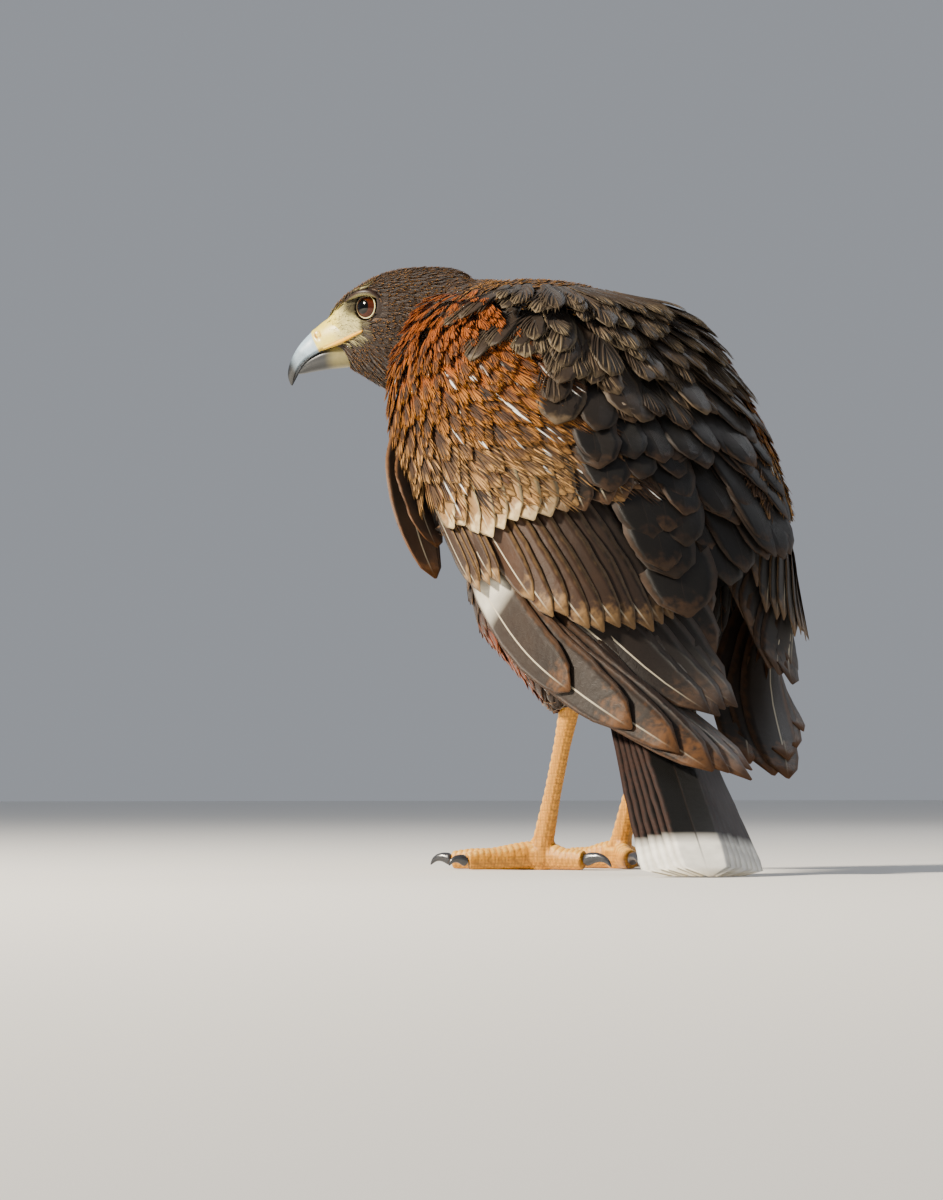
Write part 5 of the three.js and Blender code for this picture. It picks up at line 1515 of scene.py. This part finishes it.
def tube(centres, out, radius, sides, closed=False):
    """Rings round a line of places, for a loft, that start on their outward side."""
    around = np.roll(centres, -1, 0) - np.roll(centres, 1, 0)
    along = unit(around if closed else np.gradient(centres, axis=0))
    out = unit(out - along * np.sum(out * along, -1, keepdims=True))
    side = np.cross(along, out)
    a = np.linspace(0, 2 * math.pi, sides, endpoint=False)
    radius = np.broadcast_to(radius, (len(centres),))[:, None, None]
    return centres[:, None] + radius * (np.cos(a)[None, :, None] * out[:, None]
                                        + np.sin(a)[None, :, None] * side[:, None])


def build_lid(side, name, centre, material):
    """The pale rim of bare skin round the eye, thickest behind and below, with painted shade on its front
    and top under the brow.
    """
    look = unit(HEAD_FORWARD * 0.3 + HEAD_LEFT * side)
    a = np.linspace(0, 2 * math.pi, 64, endpoint=False)
    wide = unit(HEAD_FORWARD - look * (HEAD_FORWARD @ look))
    x = 5.5 * np.cos(a)
    y = np.minimum(5.9 * np.sin(a), 5.2 - 0.12 * x)
    depth = np.sqrt(np.maximum((EYE["radius"] + 0.2) ** 2 - x ** 2 - y ** 2, 1.0))
    line = centre + np.multiply.outer(x, wide) + np.multiply.outer(y, UP)
    line = line + np.multiply.outer(depth, look)
    back_low = smooth(0.5 - 0.5 * np.cos(a) - 0.35 * np.sin(a))
    thick = 0.5 * millimetres("lid_width") * lerp(0.7, 1.25, back_low)
    mesh = loft(f"lid_{name}", tube(line, line - centre, thick, LID_SIDES, True), closed=True)
    # Painted shade: the rim's front and top take a darkened socket shade; its back and lower side keep the
    # pale lid colour
    colour = mix(tint("socket") * 0.6, tint("lid"), np.repeat(lerp(0.1, 1.0, back_low), LID_SIDES))
    store(mesh, "plumage", with_alpha(colour))
    place(mesh, f"lid_{name}", material, "cere_skin")


# The ridge of the brow: forward, left and up of the head's centre, and its radius.
BROW = [(34.5, 12.3, 3.6, 0.5), (31.5, 15.0, 4.9, 1.0), (28.0, 17.4, 6.1, 1.4), (25.0, 19.0, 6.9, 1.6),
        (21.5, 20.2, 7.2, 1.7), (18.0, 20.7, 6.7, 1.6), (15.0, 20.7, 5.0, 1.2), (13.2, 20.5, 2.8, 0.6)]


def build_brow(side, name, material):
    """The bony ridge over the eye, dark above with a pale olive lower edge."""
    order = np.arange(len(BROW))
    rows = read_rows(np.column_stack([order, BROW]), np.linspace(0, order[-1], 36))
    line = on_head(rows[:, 0], side * rows[:, 1], rows[:, 2])
    out = np.broadcast_to(HEAD_LEFT * side, line.shape)
    mesh = loft(f"brow_{name}", tube(line, out, rows[:, 3], BROW_SIDES))
    points = points_of(mesh)
    height = points[:, 2] - np.repeat(line[:, 2], BROW_SIDES)
    pale = smooth((-0.3 - height / 1.6) / 0.5)
    store(mesh, "plumage", with_alpha(mix(tint("head"), tint("lore") * 0.6, pale)))
    place(mesh, f"brow_{name}", material, "cere_skin")


def build_gape():
    """The yellow edge of the mouth, from under the eye to the bill."""
    bare = bare_skin_material("gape_skin")
    for side, name in ((1, "left"), (-1, "right")):
        share = np.linspace(0, 1, 28)
        forward = lerp(GAPE_LINE[0][0], GAPE_LINE[-1][0], share)
        up = np.interp(forward, *zip(*GAPE_LINE))
        width = np.interp(forward, *zip(*GAPE_HALF_WIDTHS))
        line = on_head(forward, side * width, up + 0.7)
        radius = 0.25 + 0.75 * np.sin(math.pi * np.minimum(share * 0.85 + 0.12, 1)) ** 0.8
        out = np.broadcast_to(HEAD_LEFT * side, line.shape)
        mesh = loft(f"gape_{name}", tube(line, out, radius, 8))
        forward = head_places(points_of(mesh))[0]
        colour = mix(tint("gape"), tint("cere"), smooth((forward - 38) / 8) * 0.6)
        store(mesh, "plumage", with_alpha(colour))
        place(mesh, f"gape_{name}", bare, "cere_skin")


# Legs

LEG_VOXEL = 0.7
# Height of a plate of the shin, length of one over the toes, turns of the small scales per mm
SHIN_PLATE, TOE_PLATE, SMALL_SCALE = 4.2, 3.0, 1.9
FOOT_PADS = {"left": (28.0, -8.0), "right": (-24.0, -20.0)}


def scaly_material():
    """Horny scales over skin: half gloss, with fine pitting, paler on the raised plates."""
    return grained_material("scaly_leg", 0.9, 1.1, 0.85, 0.15, **{
        "Roughness": 0.5, "IOR": 1.45, "Subsurface Weight": 0.05, "Subsurface Scale": 0.002})


def build_legs():
    """Each foot and shin as one scaly piece."""
    scaly = scaly_material()
    for name in ("left", "right"):
        mesh = remeshed(merged_copy([f"foot_{name}", f"tarsus_{name}"]), LEG_VOXEL, 6)
        points, normals = points_of(mesh), normals_of(mesh)
        shin = points[:, 2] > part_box(f"tarsus_{name}")[0][2] / MM + 2
        # Broad plates down the front of the shin and over the toes, small round scales elsewhere
        x, y, z = points.T
        reach = np.hypot(x - FOOT_PADS[name][0], y - FOOT_PADS[name][1])
        run = np.where(shin, z / SHIN_PLATE, reach / TOE_PLATE)
        ahead, above = smooth((-normals[:, 1] - 0.1) / 0.3), smooth((normals[:, 2] - 0.1) / 0.4)
        facing = np.where(shin, ahead, above)
        plates = np.abs(np.sin(math.pi * run)) ** 0.5
        wave = np.sin(x * SMALL_SCALE) * np.sin(y * SMALL_SCALE + 0.7) * np.sin(z * SMALL_SCALE)
        small = np.abs(wave)
        relief = lerp(small ** 0.5 * 0.35, plates * 0.6, facing)
        floor_clear = smooth((z - 0.4) / 1.2)
        moved = points + normals * ((relief - 0.45) * floor_clear)[:, None]
        moved[:, 2] = np.maximum(moved[:, 2], 0.0)
        set_points(mesh, moved)
        colour = mix(tint("leg") * 0.55, tint("leg"), smooth(relief / 0.35))
        colour = mix(colour, tint("leg_pale"), smooth((relief - 0.3) / 0.3) * 0.5)
        store(mesh, "plumage", with_alpha(colour))
        place(mesh, f"leg_{name}", scaly, "leg_skin", f"foot_{name}", f"tarsus_{name}")


def build_claws():
    """Claws are copies of their solids, merged and rounded, in black horn with worn, greyer clouds."""
    material, tree, shader = new_material("claw_horn", **{
        "Roughness": 0.28, "IOR": 1.55, "Coat Weight": 0.3, "Coat Roughness": 0.15})
    place_on = add_node(tree, "TexCoord")
    grain = add_node(tree, "TexNoise", {"Vector": place_on.outputs["Object"], "Scale": 700.0})
    worn = add_node(tree, "Mix", {0: grain, 6: [*tint("claw"), 1], 7: [*tint("claw_worn"), 1]},
                    data_type="RGBA")
    bump = add_node(tree, "Bump", {"Height": grain, "Strength": 0.15, "Distance": 0.1 * MM})
    surfaced(material, tree, shader, worn, bump)
    for name in frame["nodes"]:
        if not name.startswith("claw_"):
            continue
        horn = place(merged_copy([name]), f"{name}_horn", material, "horn", name)
        rounded = horn.modifiers.new("rounded", "SUBSURF")
        rounded.levels = rounded.render_levels = 2


# Stage

CAMERA_AZIMUTH = math.radians(150)
CAMERA_DISTANCE = 2.2
CAMERA_HEIGHT = 0.04
CAMERA_LENS = 132.0
CAMERA_SHIFT = (-0.105, 0.158)
FLOOR_REACH = 12  # metres


def build_floor():
    bm = bmesh.new()
    bmesh.ops.create_grid(bm, x_segments=1, y_segments=1, size=FLOOR_REACH)
    mesh = finished(bm, "floor")
    floor = bpy.data.objects.new("floor", mesh)
    bpy.context.scene.collection.objects.link(floor)
    material, _, _ = new_material("matt_studio_paper", **{
        "Roughness": 0.8, "Base Color": [*tint("floor"), 1]})
    mesh.materials.append(material)


def view_direction(azimuth):
    """Horizontal direction from the bird to a camera that looks at it from an azimuth."""
    return Vector((math.sin(azimuth), -math.cos(azimuth), 0.0))


def add_light(name, azimuth, distance, height, size, power, colour):
    data = bpy.data.lights.new(name, "AREA")
    data.shape = "DISK"
    data.size = size
    data.energy = power
    data.color = colour
    light = bpy.data.objects.new(name, data)
    light.location = view_direction(math.radians(azimuth)) * distance + Vector((0, 0, height))
    aim = Vector((0, 0, 0.17)) - light.location
    light.rotation_euler = aim.to_track_quat("-Z", "Y").to_euler()
    bpy.context.scene.collection.objects.link(light)


def build_stage():
    build_floor()
    world = bpy.data.worlds.new("studio")
    bpy.context.scene.world = world
    world.use_nodes = True
    background = world.node_tree.nodes["Background"]
    background.inputs["Color"].default_value = (0.86, 0.91, 1.0, 1.0)
    background.inputs["Strength"].default_value = 0.36
    add_light("key", 86, 2.0, 1.35, 0.35, 165, (1.0, 0.9, 0.74))
    add_light("fill", 200, 2.6, 1.4, 1.6, 5, (0.9, 0.95, 1.0))
    add_light("rim", 300, 2.2, 1.8, 1.0, 10, (0.95, 0.97, 1.0))
    data = bpy.data.cameras.new("camera")
    data.lens = CAMERA_LENS
    data.sensor_width = 36
    data.sensor_fit = "AUTO"
    data.shift_x, data.shift_y = CAMERA_SHIFT
    camera = bpy.data.objects.new("camera", data)
    away = view_direction(CAMERA_AZIMUTH)
    camera.location = away * CAMERA_DISTANCE + Vector((0, 0, CAMERA_HEIGHT))
    camera.rotation_euler = (-away).to_track_quat("-Z", "Y").to_euler()
    bpy.context.scene.collection.objects.link(camera)
    bpy.context.scene.camera = camera


# Add-on

class HawkColours(bpy.types.PropertyGroup):
    """Colours of the plumage, the bare parts and the floor"""
    __annotations__ = {
        key: bpy.props.FloatVectorProperty(
            name=key.replace("_", " ").capitalize(), description=what, size=4, default=linear(code),
            min=0.0, max=1.0, subtype="COLOR")
        for key, (code, what) in HEX.items()}


class HawkSizes(bpy.types.PropertyGroup):
    """Sizes of the feathers, the skin and the rims of the eyes"""
    __annotations__ = {
        key: bpy.props.FloatProperty(
            name=key.replace("_", " ").capitalize(), description=what, min=0.0001, default=length,
            precision=4, subtype="DISTANCE", unit="LENGTH")
        for key, (length, what) in SIZES.items()}


class HAWK_OT_skin(bpy.types.Operator):
    """Makes the skin that lies under the feathers"""
    bl_idname = "hawk.skin"
    bl_label = "Skin"

    def execute(self, context):
        build_skin()
        return {"FINISHED"}


class HAWK_OT_coat(bpy.types.Operator):
    """Makes the small feathers of the head and the body"""
    bl_idname = "hawk.coat"
    bl_label = "Head and Body Feathers"

    def execute(self, context):
        build_coat()
        return {"FINISHED"}


class HAWK_OT_wings(bpy.types.Operator):
    """Makes the flight feathers and coverts of both wings"""
    bl_idname = "hawk.wings"
    bl_label = "Wing Feathers"

    def execute(self, context):
        for side in (1, -1):
            build_wing(side)
            build_lesser_coverts(side)
        return {"FINISHED"}


class HAWK_OT_mantle(bpy.types.Operator):
    """Makes the back and shoulder feathers"""
    bl_idname = "hawk.mantle"
    bl_label = "Mantle Feathers"

    def execute(self, context):
        build_mantle()
        return {"FINISHED"}


class HAWK_OT_tail(bpy.types.Operator):
    """Makes the tail feathers and their coverts"""
    bl_idname = "hawk.tail"
    bl_label = "Tail Feathers"

    def execute(self, context):
        build_tail()
        return {"FINISHED"}


class HAWK_OT_face(bpy.types.Operator):
    """Makes the bill, the eyes with their lids and the gape"""
    bl_idname = "hawk.face"
    bl_label = "Bill and Eyes"

    def execute(self, context):
        build_bill()
        build_eyes()
        build_gape()
        return {"FINISHED"}


class HAWK_OT_legs(bpy.types.Operator):
    """Makes the scaly legs and finishes the claws"""
    bl_idname = "hawk.legs"
    bl_label = "Legs and Claws"

    def execute(self, context):
        build_legs()
        build_claws()
        return {"FINISHED"}


class HAWK_OT_stage(bpy.types.Operator):
    """Makes the floor, the lights and the camera"""
    bl_idname = "hawk.stage"
    bl_label = "Stage"

    def execute(self, context):
        build_stage()
        return {"FINISHED"}


OPERATORS = (HAWK_OT_stage, HAWK_OT_skin, HAWK_OT_face, HAWK_OT_coat, HAWK_OT_wings, HAWK_OT_mantle,
             HAWK_OT_tail, HAWK_OT_legs)


class HAWK_PT_panel(bpy.types.Panel):
    """Lists the steps that dress the hawk"""
    bl_label = "Harris Hawk"
    bl_idname = "HAWK_PT_panel"
    bl_space_type = "VIEW_3D"
    bl_region_type = "UI"
    bl_category = "Hawk"

    def draw(self, context):
        for operator in OPERATORS:
            self.layout.operator(operator.bl_idname)
        for group, keys in ((context.scene.hawk_sizes, SIZES), (context.scene.hawk_colours, HEX)):
            column = self.layout.column()
            for key in keys:
                column.prop(group, key)


CLASSES = (HawkColours, HawkSizes, *OPERATORS, HAWK_PT_panel)


def register():
    for cls in CLASSES:
        bpy.utils.register_class(cls)
    bpy.types.Scene.hawk_colours = bpy.props.PointerProperty(type=HawkColours)
    bpy.types.Scene.hawk_sizes = bpy.props.PointerProperty(type=HawkSizes)


def unregister():
    del bpy.types.Scene.hawk_sizes
    del bpy.types.Scene.hawk_colours
    for cls in reversed(CLASSES):
        bpy.utils.unregister_class(cls)


def main():
    register()
    for operator in OPERATORS:
        group, action = operator.bl_idname.split(".")
        getattr(getattr(bpy.ops, group), action)()


if __name__ == "__main__":
    main()
